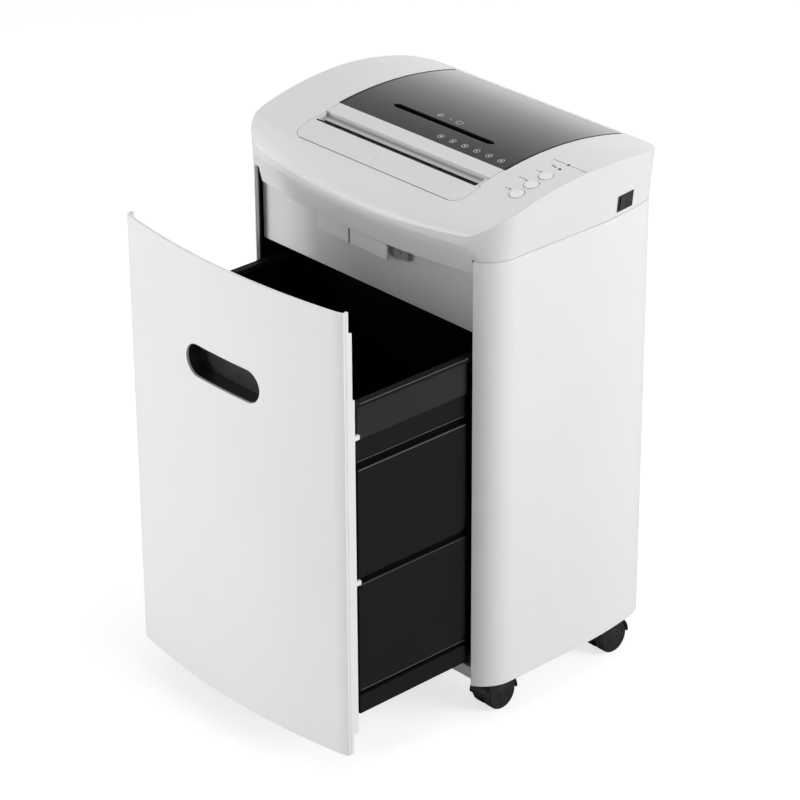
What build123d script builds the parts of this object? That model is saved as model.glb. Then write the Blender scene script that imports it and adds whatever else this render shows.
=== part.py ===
# Paper shredder with a pull-out waste drawer, standing on four twin-wheel castors.
# Millimetres, +Z up, front towards -Y. The drawer stands open by DRAWER_OUT at rest.

import os
from math import acos, asin, atan2, cos, degrees, pi, radians, sin, sqrt, tan

from build123d import *

# Driving sizes
WIDTH = 380.0
DEPTH = 279.0
DRAWER_OUT = 173.0
SEAM_Z = 544.0
CABINET_BOTTOM = 48.0

# Plan outline
FRONT_SAG = 17.0
FRONT_ARC_HALF = 172.0
OPENING_HALF = 168.0
FRONT_CORNER_R = 42.0
REAR_CORNER_R = 35.0
SIDE_BEND_R = 420.0
SIDE_BEND_RUN = 113.0
REAR_Y = (DEPTH + DRAWER_OUT) / 2
FRONT_Y = REAR_Y - DEPTH
FRONT_R = (FRONT_ARC_HALF**2 + FRONT_SAG**2) / (2 * FRONT_SAG)
FRONT_CENTRE_Y = FRONT_Y + FRONT_R

# Crowned top of the head
CROWN_RISE = 66.5
CROWN_R = 420.0
CROWN_Y = REAR_Y - 110.0
CROWN_Z = SEAM_Z + CROWN_RISE - CROWN_R
SIDE_FLARE = 7.0
FLARE_ANGLE = atan2(SIDE_FLARE, CROWN_RISE)
COVER_WALL = 3.5

# Rolled front of the head, tucked in behind the closed drawer panel
NOSE_R = 30.0
NOSE_BULGE = 17.0
NOSE_TUCK = 4.6
SKIRT_TUCK = 9.4
SKIRT_DROP = 18.0
SKIRT_HALF = 164.0
NOSE_SLOPE = asin((CROWN_Y - FRONT_Y - NOSE_R) / CROWN_R)

# Openings and small fits of the cover
SEAM_GAP = 0.9
SEAM_DEPTH = 1.2
FIT_GAP = 0.25
BOSS_SPOTS = ((170.0, -2.0), (170.0, 115.0), (170.0, 185.0))
SCREW_R = 1.6
GLAND_X = -120.0
GLAND_Z = SEAM_Z + 22.0
GLAND_R = 7.0

# Cabinet walls
SHELL_WALL = 4.0
BASE_THICK = 5.0
LIP_TOP = 62.0
LIP_HALF = 163.4
BASE_FRONT_Y = -25.0
SOCKET_DEPTH = 20.0
LINER_THICK = 2.0
RAIL_FRONT_Y = -20.0
RAIL_REAR_Y = 200.0
RAIL_BOTTOM = CABINET_BOTTOM + BASE_THICK
RAIL_TOP = 76.0
RAIL_WIDE = 20.0

# Head housing under the cover
HOUSING_HALF_X = 165.5
HOUSING_FRONT_Y = FRONT_Y + 31.0
HOUSING_REAR_Y = 199.0
HOUSING_BOTTOM = SEAM_Z - 87.0
HOUSING_WALL = 2.5
HOUSING_CORNER_R = 20.0
WING_HALF_X = 175.0
WING_LONG = 15.0
WING_CORNER_R = 7.0
FLANGE_THICK = 3.0
FLANGE_INSET = 10.0
OUTLET_HALF = 126.0
OUTLET_LONG = 76.0

# Top fittings, measured along the crown from front to rear
INSERT_FRONT_Y = -17.5
INSERT_REAR_Y = 14.8
SLOT_FRONT_Y = 20.3
SLOT_REAR_Y = 25.0
PANEL_FRONT_Y = 50.0
PANEL_REAR_Y = 219.0
PANEL_THICK = 2.0
TOP_PANEL_HALF = 126.0
THROAT_HALF = 124.0
INSERT_HALF = 127.0
INSERT_THICK = 2.0
INSERT_CORNER_R = 16.0
INSERT_GAP = 0.5
WINDOW_FRONT_Y = 11.0
WINDOW_HALF = 124.75
BAR_EDGE_Y = 30.6
COVE_DROP = 6.9
CHEEK_INNER = 121.8
GUIDE_BOTTOM = 535.0
GUIDE_HALF = 121.5
GUIDE_WALL = 2.0
DISC_SLOT_Y = 83.0
DISC_SLOT_HALF = 77.0
DISC_SLOT_GAP = 8.0
BUTTON_X = 169.0
BUTTON_YS = (24.7, 45.1, 65.6)
BUTTON_NAMES = ("button_front", "button_middle", "button_rear")
BUTTON_R = 7.6
BUTTON_GAP = 0.4
BUTTON_TRAVEL = 1.5
LIGHT_YS = (85.1, 97.8)
LIGHT_R = 1.6

# Disc chute
CHUTE_HEAD = (83.0, 599.0)
CHUTE_FOOT = (34.0, 538.0)
CHUTE_GAP = 7.0
CHUTE_WALL = 2.0
MOUTH_FRONT_Y = 77.0
MOUTH_REAR_Y = 91.0
MOUTH_BOTTOM = 594.0
MOUTH_TOP = 606.5

# Circuit board
BOARD_Z = 578.0
BOARD_THICK = 1.6
BOARD_PILLAR_X = 174.0
BOARD_PILLAR_YS = (34.9, 55.3)
BOARD_X = (140.0, 178.0)
BOARD_Y = (14.0, 76.0)
TACT_TALL = 3.0

# Interlock behind the lip of the head
TAB_LEFT = -67.0
TAB_RIGHT = 40.0
TAB_BOTTOM = SEAM_Z - 41.0
TAB_THICK = 2.5
TAB_SLIT_X = -18.0
TAB_SLIT_TALL = 18.0
SWITCH_BLOCK_RIGHT = 65.0
SWITCH_BLOCK_TOP = SEAM_Z - 19.0
SWITCH_BLOCK_DEEP = 6.0
PLUNGER_R = 2.0
PLUNGER_LONG = 5.2
STRIKER_WIDE = 10.0
STRIKER_TALL = 8.0

# Rocker switch on the right side
SWITCH_Y = 161.5
SWITCH_Z = SEAM_Z + 14.0
SWITCH_LONG = 25.0
SWITCH_TALL = 18.0
PADDLE_LONG = 18.6
PADDLE_TALL = 13.0
PADDLE_PIVOT_DEPTH = 3.0
PADDLE_PIN_R = 1.2

# Cutting block
NIP_Y = 22.0
CUTTER_Z = 505.0
SHAFT_SPACING = 34.0
CUTTER_R = 20.0
CUTTER_ROOT_R = 16.5
CUTTER_HOOKS = 7
CUTTER_THICK = 4.8
CUTTER_PITCH = 10.0
CUTTER_COUNT = 24
SHAFT_R = 9.0
JOURNAL_R = 7.0
RUN_FIT = 0.05
PLATE_X = 128.0
PLATE_THICK = 4.0
PLATE_FRONT_Y = -14.0
PLATE_TOP = 545.0
LEFT_PLATE_REAR_Y = 150.0
RIGHT_PLATE_REAR_Y = 66.0
BUSH_R = 10.0
TIE_R = 4.0
TIE_SPOTS = ((-8.0, 474.0), (54.0, 474.0), (-8.0, 538.0), (56.0, 538.0))
COMB_TALL = 10.0
COMB_FINGER = 4.4
FRONT_SHAFT_Y = NIP_Y - SHAFT_SPACING / 2
REAR_SHAFT_Y = NIP_Y + SHAFT_SPACING / 2

# Gear train
SYNC_TEETH = 17
SYNC_MODULE = 2.0
DRIVE_TEETH = 44
DRIVE_PINION_TEETH = 14
DRIVE_MODULE = 1.5
COUNTER_TEETH = 56
MOTOR_TEETH = 14
MOTOR_MODULE = 1.0
COUNTER_ANGLE = 20.0
MOTOR_ANGLE = -15.0
COUNTER_REACH = DRIVE_MODULE * (DRIVE_TEETH + DRIVE_PINION_TEETH) / 2
MOTOR_REACH = MOTOR_MODULE * (COUNTER_TEETH + MOTOR_TEETH) / 2
COUNTER_Y = REAR_SHAFT_Y + COUNTER_REACH * cos(radians(COUNTER_ANGLE))
COUNTER_Z = CUTTER_Z + COUNTER_REACH * sin(radians(COUNTER_ANGLE))
MOTOR_Y = COUNTER_Y + MOTOR_REACH * cos(radians(MOTOR_ANGLE))
MOTOR_Z = COUNTER_Z + MOTOR_REACH * sin(radians(MOTOR_ANGLE))
SYNC_X = (137.0, 147.0)
DRIVE_X = (-156.0, -147.0)
COUNTER_X = (-143.0, -135.5)
BACKLASH = 0.16
FLANK_STEPS = 4
POST_R = 4.0
MOTOR_R = 32.0
MOTOR_BOSS_R = 10.0
MOTOR_SHAFT_R = 3.0
MOTOR_LENGTH = 96.0

# Drawer, given closed and then drawn out
PANEL_BOTTOM_Z = 36.0
PANEL_TOP_Z = SEAM_Z - 1.8
PANEL_HALF = 167.2
PANEL_WALL = 3.0
HANDLE_Z = SEAM_Z - 120.5
HANDLE_LONG = 115.0
HANDLE_TALL = 37.0
CUP_DEPTH = 21.0
BIN_HALF = 158.0
BIN_FRONT_Y = -25.0
BIN_REAR_Y = 205.0
BIN_BOTTOM = 80.0
BIN_TOP = 436.0
BIN_WALL = 2.5
BIN_CORNER_R = 12.0
SIDE_PANEL_FRONT_Y = -13.0
SIDE_PANEL_REAR_Y = 137.0
SIDE_PANEL_THICK = 3.0
SIDE_SHEET = 0.8
SIDE_PANELS = ((75.0, 96.0, 0.0), (103.0, 228.0, 8.0), (236.0, 360.0, 8.0), (394.0, 431.0, 0.0))
RIM_TALL = 5.0
RIM_REACH = 6.0
FLANGE_WALL = 2.8
FLANGE_STEPS = ((59.0, 444.0, 10.4), (444.0, 518.0, 7.6), (PANEL_BOTTOM_Z, PANEL_TOP_Z, 3.3))
POST_X = 100.0
POST_ZS = (140.0, 360.0)
POST_WIDE_R = 6.0
DRAWER_SCREW_R = 1.8
CLIP_Y = -19.0
CLIP_LONG = 13.0
CLIP_TALL = 5.0
CLIP_ZS = (233.0, 399.0)
RUNNER_BOTTOM = 66.0
RUNNER_WIDE = 14.0
RAIL_X = 120.0

# Castors
CASTOR_X = 155.0
CASTOR_FRONT_Y = 0.0
CASTOR_REAR_Y = 172.0
WHEEL_R = 19.0
WHEEL_WIDE = 11.0
CASTOR_TRAIL = 12.0
AXLE_R = 3.0
STEM_R = 5.5
STEM_TOP = 66.0
BOSS_BOTTOM = 38.6
BOSS_TOP = 46.0
HOOD_R = 22.5
HOOD_WALL = 2.5
HOOD_HALF = 14.0
WEB_HALF = 3.0
WHEEL_SIDE_GAP = 0.5

os.makedirs("parts", exist_ok=True)


def keep(piece, name, shift_y=0.0):
    """Label a finished piece, draw it out along Y if asked, and write it as its own node."""
    placed = piece.moved(Location((0, shift_y, 0)))
    placed.label = name
    export_step(placed, f"parts/{name}.step")


def crown_height(y):
    """Height of the crowned top above the floor at a distance along Y."""
    return CROWN_Z + sqrt(CROWN_R**2 - (y - CROWN_Y) ** 2)


def crown_plane(x, y):
    """Plane lying on the crowned top at a plan point, its Z axis outwards."""
    top = crown_height(y)
    return Plane((x, y, top), x_dir=(1, 0, 0), z_dir=(0, y - CROWN_Y, top - CROWN_Z))


bend_y = REAR_Y - SIDE_BEND_RUN


def plan_outline(spread):
    """Plan outline of cabinet and head, the sides moved out by a spread.

    A shallow front arc, round front corners, sides that bend in a little and a flat rear.
    """
    half = WIDTH / 2 + spread
    rear_x = half - SIDE_BEND_R + sqrt(SIDE_BEND_R**2 - SIDE_BEND_RUN**2)
    corner_y = FRONT_CENTRE_Y - sqrt(FRONT_R**2 - half**2)
    with BuildSketch() as outline:
        with BuildLine():
            ThreePointArc((-half, corner_y), (0, FRONT_Y), (half, corner_y))
            Line((half, corner_y), (half, bend_y))
            TangentArc((half, bend_y), (rear_x, REAR_Y), tangent=(0, 1))
            Line((rear_x, REAR_Y), (-rear_x, REAR_Y))
            TangentArc((-half, bend_y), (-rear_x, REAR_Y), tangent=(0, 1))
            Line((-half, bend_y), (-half, corner_y))
        make_face()
        fillet(outline.vertices().group_by(Axis.Y)[0], FRONT_CORNER_R)
        fillet(outline.vertices().group_by(Axis.Y)[-1], REAR_CORNER_R)
    return outline.sketch_local


plan = plan_outline(0)


def plan_prism(inset, bottom, top):
    """Prism over the plan outline, drawn in by an inset."""
    with BuildPart() as prism:
        with BuildSketch(Plane.XY.offset(bottom)):
            add(plan)
            if inset > 0:
                offset(amount=-inset, kind=Kind.INTERSECTION, mode=Mode.REPLACE)
        extrude(amount=top - bottom)
    return prism.part


def flared_prism(inset, top):
    """Prism over the plan outline from the seam upwards, its sides leaning out."""
    wide_plan = plan_outline((top - SEAM_Z) * tan(FLARE_ANGLE))
    with BuildPart() as prism:
        for outline, height in ((plan, SEAM_Z), (wide_plan, top)):
            with BuildSketch(Plane.XY.offset(height)):
                add(outline)
                if inset > 0:
                    offset(amount=-inset, kind=Kind.INTERSECTION, mode=Mode.REPLACE)
        loft(ruled=True)
    return prism.part


def nose_ring(inset):
    """Ring that bounds the head in front: one smooth roll from the crown down past the lip.

    Its axis leans with the crown, so that the roll keeps to the crown along the front arc.
    """
    high = SEAM_Z + CROWN_RISE + 60
    front = FRONT_Y + inset
    rear = REAR_Y + 60
    lip_y = front + SKIRT_TUCK
    lip_z = SEAM_Z - SKIRT_DROP
    tail_y = lip_y + 2 * (SKIRT_TUCK - NOSE_TUCK)
    tail_z = lip_z - 2 * SKIRT_DROP
    roll_end = FRONT_Y + NOSE_R
    roll_top = crown_height(roll_end) - inset + 1
    end_angle = NOSE_SLOPE + radians(4)
    axis_y = FRONT_Y + FRONT_R * cos(NOSE_SLOPE)
    axis_z = SEAM_Z + NOSE_BULGE + FRONT_R * sin(NOSE_SLOPE)
    with BuildPart() as ring:
        with BuildSketch(Plane.YZ):
            with BuildLine():
                Spline(
                    (lip_y, lip_z),
                    (front + NOSE_TUCK, SEAM_Z),
                    (front, SEAM_Z + NOSE_BULGE),
                    (roll_end, roll_top),
                    tangents=((NOSE_TUCK - SKIRT_TUCK, SKIRT_DROP), (cos(end_angle), sin(end_angle))),
                )
                Polyline(
                    (roll_end, roll_top),
                    (roll_end, high),
                    (rear, high),
                    (rear, tail_z),
                    (tail_y, tail_z),
                    (lip_y, lip_z),
                )
            make_face()
        revolve(axis=Axis((0, axis_y, axis_z), (0, -sin(NOSE_SLOPE), cos(NOSE_SLOPE))))
    return ring.part


def head_form(inset):
    """Solid head: flared plan outline under the crowned top, with the rolled front nose."""
    upper = flared_prism(inset, SEAM_Z + CROWN_RISE + 5)
    lower = plan_prism(inset, SEAM_Z - SKIRT_DROP - inset, SEAM_Z)
    nose = nose_ring(inset)
    with BuildPart() as form:
        add(upper)
        add(lower)
        with BuildSketch(Plane.YZ.offset(-WIDTH)):
            with Locations((CROWN_Y, CROWN_Z)):
                Circle(CROWN_R - inset)
        extrude(amount=2 * WIDTH, mode=Mode.INTERSECT)
        add(nose, mode=Mode.INTERSECT)
    return form.part


def crown_slab(half_x, front_y, rear_y, top, bottom):
    """Curved slab that follows the crown between two depths measured down from it."""
    with BuildPart() as slab:
        with BuildSketch(Plane.YZ.offset(-half_x)):
            with Locations((CROWN_Y, CROWN_Z)):
                Circle(CROWN_R - top)
                Circle(CROWN_R - bottom, mode=Mode.SUBTRACT)
            with Locations(((front_y + rear_y) / 2, CROWN_Z + CROWN_R)):
                Rectangle(rear_y - front_y, CROWN_R, mode=Mode.INTERSECT)
        extrude(amount=2 * half_x)
    return slab.part


def block(x0, x1, y0, y1, z0, z1):
    """Plain box between two corners."""
    size = (x1 - x0, y1 - y0, z1 - z0)
    with BuildPart() as box:
        with Locations(((x0 + x1) / 2, (y0 + y1) / 2, (z0 + z1) / 2)):
            Box(*size)
    return box.part


# Cabinet shell: one wrapped wall with an open front and a fine rebate under the seam.
shell_solid = plan_prism(0, CABINET_BOTTOM, SEAM_Z)
shell_hollow = plan_prism(SHELL_WALL, CABINET_BOTTOM - 1, SEAM_Z + 1)
seam_outer = plan_prism(0, SEAM_Z - SEAM_GAP, SEAM_Z + 1)
seam_inner = plan_prism(SEAM_DEPTH, SEAM_Z - 2 * SEAM_GAP, SEAM_Z + 2)
opening = block(-OPENING_HALF, OPENING_HALF, FRONT_Y - 10, 0, 0, SEAM_Z + 1)
with BuildPart() as seam_groove:
    add(seam_outer)
    add(seam_inner, mode=Mode.SUBTRACT)
with BuildPart() as cabinet_shell:
    add(shell_solid)
    add(shell_hollow, mode=Mode.SUBTRACT)
    add(opening, mode=Mode.SUBTRACT)
    add(seam_groove.part, mode=Mode.SUBTRACT)
keep(cabinet_shell.part, "cabinet_shell")

# Base plate: floor of the cabinet with a front lip and four castor sockets.
base_solid = plan_prism(SHELL_WALL, CABINET_BOTTOM, CABINET_BOTTOM + BASE_THICK)
castor_spots = [(x, y) for x in (-CASTOR_X, CASTOR_X) for y in (CASTOR_FRONT_Y, CASTOR_REAR_Y)]
with BuildPart() as base_plate:
    add(base_solid)
    with Locations((0, BASE_FRONT_Y - 20, CABINET_BOTTOM)):
        Box(WIDTH, 40, 40, mode=Mode.SUBTRACT)
    with Locations((0, BASE_FRONT_Y + 2, (CABINET_BOTTOM + LIP_TOP) / 2)):
        Box(2 * LIP_HALF, 4, LIP_TOP - CABINET_BOTTOM)
    with Locations(*[(x, y, CABINET_BOTTOM) for x, y in castor_spots]):
        Cylinder(STEM_R + 4, SOCKET_DEPTH + 4, align=(Align.CENTER, Align.CENTER, Align.MIN))
        Cylinder(
            STEM_R + RUN_FIT,
            SOCKET_DEPTH,
            align=(Align.CENTER, Align.CENTER, Align.MIN),
            mode=Mode.SUBTRACT,
        )
keep(base_plate.part, "base_plate")

# Black liner inside the walls.
liner_top = SEAM_Z - 8
liner_solid = plan_prism(SHELL_WALL, CABINET_BOTTOM + BASE_THICK, liner_top)
liner_hollow = plan_prism(SHELL_WALL + LINER_THICK, CABINET_BOTTOM, SEAM_Z)
with BuildPart() as cabinet_liner:
    add(liner_solid)
    add(liner_hollow, mode=Mode.SUBTRACT)
    add(opening, mode=Mode.SUBTRACT)
keep(cabinet_liner.part, "cabinet_liner")

# Steel channels on the floor that carry the drawer.
with BuildPart() as cabinet_rails:
    with BuildSketch(Plane.XZ.offset(-RAIL_FRONT_Y)):
        with Locations(*[(x, (RAIL_BOTTOM + RAIL_TOP) / 2) for x in (-RAIL_X, RAIL_X)]):
            Rectangle(RAIL_WIDE, RAIL_TOP - RAIL_BOTTOM)
        with Locations(*[(x, (RAIL_BOTTOM + RAIL_TOP) / 2 + 3) for x in (-RAIL_X, RAIL_X)]):
            Rectangle(RAIL_WIDE - 4, RAIL_TOP - RAIL_BOTTOM, mode=Mode.SUBTRACT)
    extrude(amount=RAIL_FRONT_Y - RAIL_REAR_Y)
keep(cabinet_rails.part, "cabinet_rails")

# Top cover: hollow crowned form with a front lip, screw bosses and all its openings.
outer_form = head_form(0)
inner_form = head_form(COVER_WALL)
under_seam = block(-WIDTH, WIDTH, FRONT_Y - 10, REAR_Y + 10, SEAM_Z - 60, SEAM_Z)
skirt_span = block(-SKIRT_HALF, SKIRT_HALF, FRONT_Y - 20, FRONT_Y + 38, SEAM_Z - 70, SEAM_Z + 10)
with BuildPart() as seam_trim:
    add(under_seam)
    add(skirt_span, mode=Mode.SUBTRACT)
panel_recess = crown_slab(
    TOP_PANEL_HALF + FIT_GAP, PANEL_FRONT_Y - FIT_GAP, PANEL_REAR_Y + FIT_GAP, -2, PANEL_THICK + 0.1
)
insert_slab = crown_slab(INSERT_HALF + 1, INSERT_FRONT_Y - 1, INSERT_REAR_Y + 1, -2, INSERT_THICK)
insert_recess = crown_slab(INSERT_HALF + 1, INSERT_FRONT_Y - 1, INSERT_REAR_Y + 1, -2, INSERT_THICK + 0.1)


def insert_prism(grow):
    """Upright prism over the rounded outline of the entry insert."""
    with BuildPart() as prism:
        with BuildSketch(Plane.XY.offset(SEAM_Z)) as outline:
            with Locations((0, (INSERT_FRONT_Y + INSERT_REAR_Y) / 2)):
                Rectangle(2 * (INSERT_HALF + grow), INSERT_REAR_Y - INSERT_FRONT_Y + 2 * grow)
            fillet(outline.vertices().group_by(Axis.Y)[0], INSERT_CORNER_R)
            fillet(outline.vertices().group_by(Axis.Y)[-1], 2)
        extrude(amount=100)
    return prism.part


pocket_prism = insert_prism(INSERT_GAP)
plate_prism = insert_prism(0)
with BuildPart() as insert_pocket:
    add(insert_recess)
    add(pocket_prism, mode=Mode.INTERSECT)
boss_spots = [(side * x, y) for side in (-1, 1) for x, y in BOSS_SPOTS]
switch_angle = asin((SWITCH_Y - bend_y) / SIDE_BEND_R)
switch_x = WIDTH / 2 - SIDE_BEND_R * (1 - cos(switch_angle)) + (SWITCH_Z - SEAM_Z) * tan(FLARE_ANGLE)
switch_plane = Plane(
    (switch_x, SWITCH_Y, SWITCH_Z),
    x_dir=(-sin(switch_angle), cos(switch_angle), 0),
    z_dir=(
        cos(switch_angle) * cos(FLARE_ANGLE),
        sin(switch_angle) * cos(FLARE_ANGLE),
        -sin(FLARE_ANGLE),
    ),
)
with BuildPart() as top_cover:
    add(outer_form)
    add(inner_form, mode=Mode.SUBTRACT)
    add(seam_trim.part, mode=Mode.SUBTRACT)
    for x, y in boss_spots:
        with Locations((x, y, SEAM_Z)):
            Cylinder(5, crown_height(y) - SEAM_Z - 2, align=(Align.CENTER, Align.CENTER, Align.MIN))
            Cylinder(
                SCREW_R + RUN_FIT, 12, align=(Align.CENTER, Align.CENTER, Align.MIN), mode=Mode.SUBTRACT
            )
    add(panel_recess, mode=Mode.SUBTRACT)
    add(insert_pocket.part, mode=Mode.SUBTRACT)
    with Locations((0, (WINDOW_FRONT_Y + PANEL_FRONT_Y) / 2, SEAM_Z + CROWN_RISE)):
        Box(2 * WINDOW_HALF, PANEL_FRONT_Y - WINDOW_FRONT_Y, 60, mode=Mode.SUBTRACT)
    with Locations((0, (MOUTH_FRONT_Y + MOUTH_REAR_Y) / 2, SEAM_Z + CROWN_RISE)):
        Box(2 * (DISC_SLOT_HALF + CHUTE_WALL + 1), MOUTH_REAR_Y - MOUTH_FRONT_Y + 2, 30, mode=Mode.SUBTRACT)
    for y in BUTTON_YS:
        with Locations(crown_plane(BUTTON_X, y)):
            Cylinder(BUTTON_R + BUTTON_GAP, 16, mode=Mode.SUBTRACT)
    for y in LIGHT_YS:
        with Locations(crown_plane(BUTTON_X, y)):
            Cylinder(LIGHT_R + 0.1, 16, mode=Mode.SUBTRACT)
    with Locations(switch_plane):
        Box(SWITCH_LONG - 1.2, SWITCH_TALL - 1.2, 20, mode=Mode.SUBTRACT)
    with Locations(Location((GLAND_X, REAR_Y, GLAND_Z), (90, 0, 0))):
        Cylinder(GLAND_R, 20, mode=Mode.SUBTRACT)
keep(top_cover.part, "top_cover")

# Entry insert: rounded plate flush with the crown, in front of the paper slot.
with BuildPart() as entry_insert:
    add(insert_slab)
    add(outer_form, mode=Mode.INTERSECT)
    add(plate_prism, mode=Mode.INTERSECT)
keep(entry_insert.part, "entry_insert")

# Throat bar: flush top, hollow front face falling to the slot, and a cheek at each end.
bar_rear = PANEL_FRONT_Y - FIT_GAP
bar_mid = (bar_rear + BAR_EDGE_Y) / 2
slot_z = crown_height(SLOT_REAR_Y) - COVE_DROP
cheek_front = INSERT_REAR_Y + 0.4
cheek_rear = BAR_EDGE_Y + 0.4
cheek_mid = (cheek_front + cheek_rear) / 2
with BuildPart() as throat_bar:
    with BuildSketch(Plane.YZ.offset(-THROAT_HALF)):
        with BuildLine():
            ThreePointArc(
                (bar_rear, crown_height(bar_rear)),
                (bar_mid, crown_height(bar_mid)),
                (BAR_EDGE_Y, crown_height(BAR_EDGE_Y)),
            )
            ThreePointArc(
                (BAR_EDGE_Y, crown_height(BAR_EDGE_Y)),
                (SLOT_REAR_Y + 3.7, slot_z + 2.8),
                (SLOT_REAR_Y, slot_z),
            )
            Polyline(
                (SLOT_REAR_Y, slot_z),
                (SLOT_REAR_Y + GUIDE_WALL, slot_z),
                (bar_rear, slot_z + 2),
                (bar_rear, crown_height(bar_rear)),
            )
        make_face()
    extrude(amount=2 * THROAT_HALF)
    with BuildSketch(Plane.YZ.offset(-THROAT_HALF), Plane.YZ.offset(CHEEK_INNER)):
        with BuildLine():
            ThreePointArc(
                (cheek_front, crown_height(cheek_front)),
                (cheek_mid, crown_height(cheek_mid)),
                (cheek_rear, crown_height(cheek_rear)),
            )
            Polyline(
                (cheek_rear, crown_height(cheek_rear)),
                (cheek_rear, slot_z + 0.5),
                (SLOT_REAR_Y, slot_z - 5),
                (SLOT_FRONT_Y, slot_z - 5),
                (cheek_front, crown_height(cheek_front) - 3),
                (cheek_front, crown_height(cheek_front)),
            )
        make_face()
    extrude(amount=THROAT_HALF - CHEEK_INNER)
keep(throat_bar.part, "throat_bar")

# Paper guides: black funnel under the slot, front and rear walls joined by end webs.
funnel_y = INSERT_REAR_Y + 0.2
funnel_z = crown_height(INSERT_REAR_Y) - INSERT_THICK - 1.2
neck_z = slot_z - 8
guide_tall = neck_z - GUIDE_BOTTOM
with BuildPart() as paper_guides:
    with BuildSketch(Plane.YZ.offset(-GUIDE_HALF)):
        Polygon(
            (funnel_y, funnel_z),
            (SLOT_FRONT_Y, neck_z),
            (SLOT_FRONT_Y, GUIDE_BOTTOM),
            (SLOT_FRONT_Y - GUIDE_WALL, GUIDE_BOTTOM),
            (SLOT_FRONT_Y - GUIDE_WALL, neck_z),
            (funnel_y - GUIDE_WALL, funnel_z),
            align=None,
        )
        with Locations((SLOT_REAR_Y + GUIDE_WALL / 2, (slot_z + GUIDE_BOTTOM) / 2)):
            Rectangle(GUIDE_WALL, slot_z - GUIDE_BOTTOM)
    extrude(amount=2 * GUIDE_HALF)
    for x in (-GUIDE_HALF, GUIDE_HALF - GUIDE_WALL):
        with Locations((x, SLOT_FRONT_Y - GUIDE_WALL, GUIDE_BOTTOM)):
            Box(
                GUIDE_WALL,
                SLOT_REAR_Y - SLOT_FRONT_Y + 2 * GUIDE_WALL,
                guide_tall,
                align=(Align.MIN, Align.MIN, Align.MIN),
            )
keep(paper_guides.part, "paper_guides")

# Control panel: thin glossy sheet let into the crown, with a slot for discs and cards.
panel_slab = crown_slab(TOP_PANEL_HALF, PANEL_FRONT_Y, PANEL_REAR_Y, 0, PANEL_THICK)
with BuildPart() as control_panel:
    add(panel_slab)
    with BuildSketch(Plane.XY.offset(SEAM_Z)):
        with Locations((0, DISC_SLOT_Y)):
            Polygon(
                (-DISC_SLOT_HALF, 0),
                (-DISC_SLOT_HALF + 6, -DISC_SLOT_GAP / 2),
                (DISC_SLOT_HALF - 6, -DISC_SLOT_GAP / 2),
                (DISC_SLOT_HALF, 0),
                (DISC_SLOT_HALF - 6, DISC_SLOT_GAP / 2),
                (-DISC_SLOT_HALF + 6, DISC_SLOT_GAP / 2),
            )
    extrude(amount=100, mode=Mode.SUBTRACT)
keep(control_panel.part, "control_panel")

# Disc chute: upright mouth under the disc slot and a slanted channel down to the cutters.
chute_run = (CHUTE_FOOT[0] - CHUTE_HEAD[0], CHUTE_FOOT[1] - CHUTE_HEAD[1])
chute_long = sqrt(chute_run[0] ** 2 + chute_run[1] ** 2)
chute_mid = ((CHUTE_HEAD[0] + CHUTE_FOOT[0]) / 2, (CHUTE_HEAD[1] + CHUTE_FOOT[1]) / 2)
chute_tilt = degrees(atan2(chute_run[1], chute_run[0]))
mouth_mid = ((MOUTH_FRONT_Y + MOUTH_REAR_Y) / 2, (MOUTH_BOTTOM + MOUTH_TOP) / 2)
with BuildPart() as disc_chute:
    with BuildSketch(Plane.YZ.offset(-DISC_SLOT_HALF - CHUTE_WALL)):
        with Locations(chute_mid):
            Rectangle(chute_long, CHUTE_GAP + 2 * CHUTE_WALL, rotation=chute_tilt)
        with Locations(mouth_mid):
            Rectangle(MOUTH_REAR_Y - MOUTH_FRONT_Y, MOUTH_TOP - MOUTH_BOTTOM)
    extrude(amount=2 * (DISC_SLOT_HALF + CHUTE_WALL))
    with BuildSketch(Plane.YZ.offset(-DISC_SLOT_HALF)):
        with Locations(chute_mid):
            Rectangle(chute_long + 10, CHUTE_GAP, rotation=chute_tilt)
        with Locations((mouth_mid[0], mouth_mid[1] + CHUTE_WALL)):
            Rectangle(MOUTH_REAR_Y - MOUTH_FRONT_Y - 2 * CHUTE_WALL, MOUTH_TOP - MOUTH_BOTTOM)
    extrude(amount=2 * DISC_SLOT_HALF, mode=Mode.SUBTRACT)
keep(disc_chute.part, "disc_chute")

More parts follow.
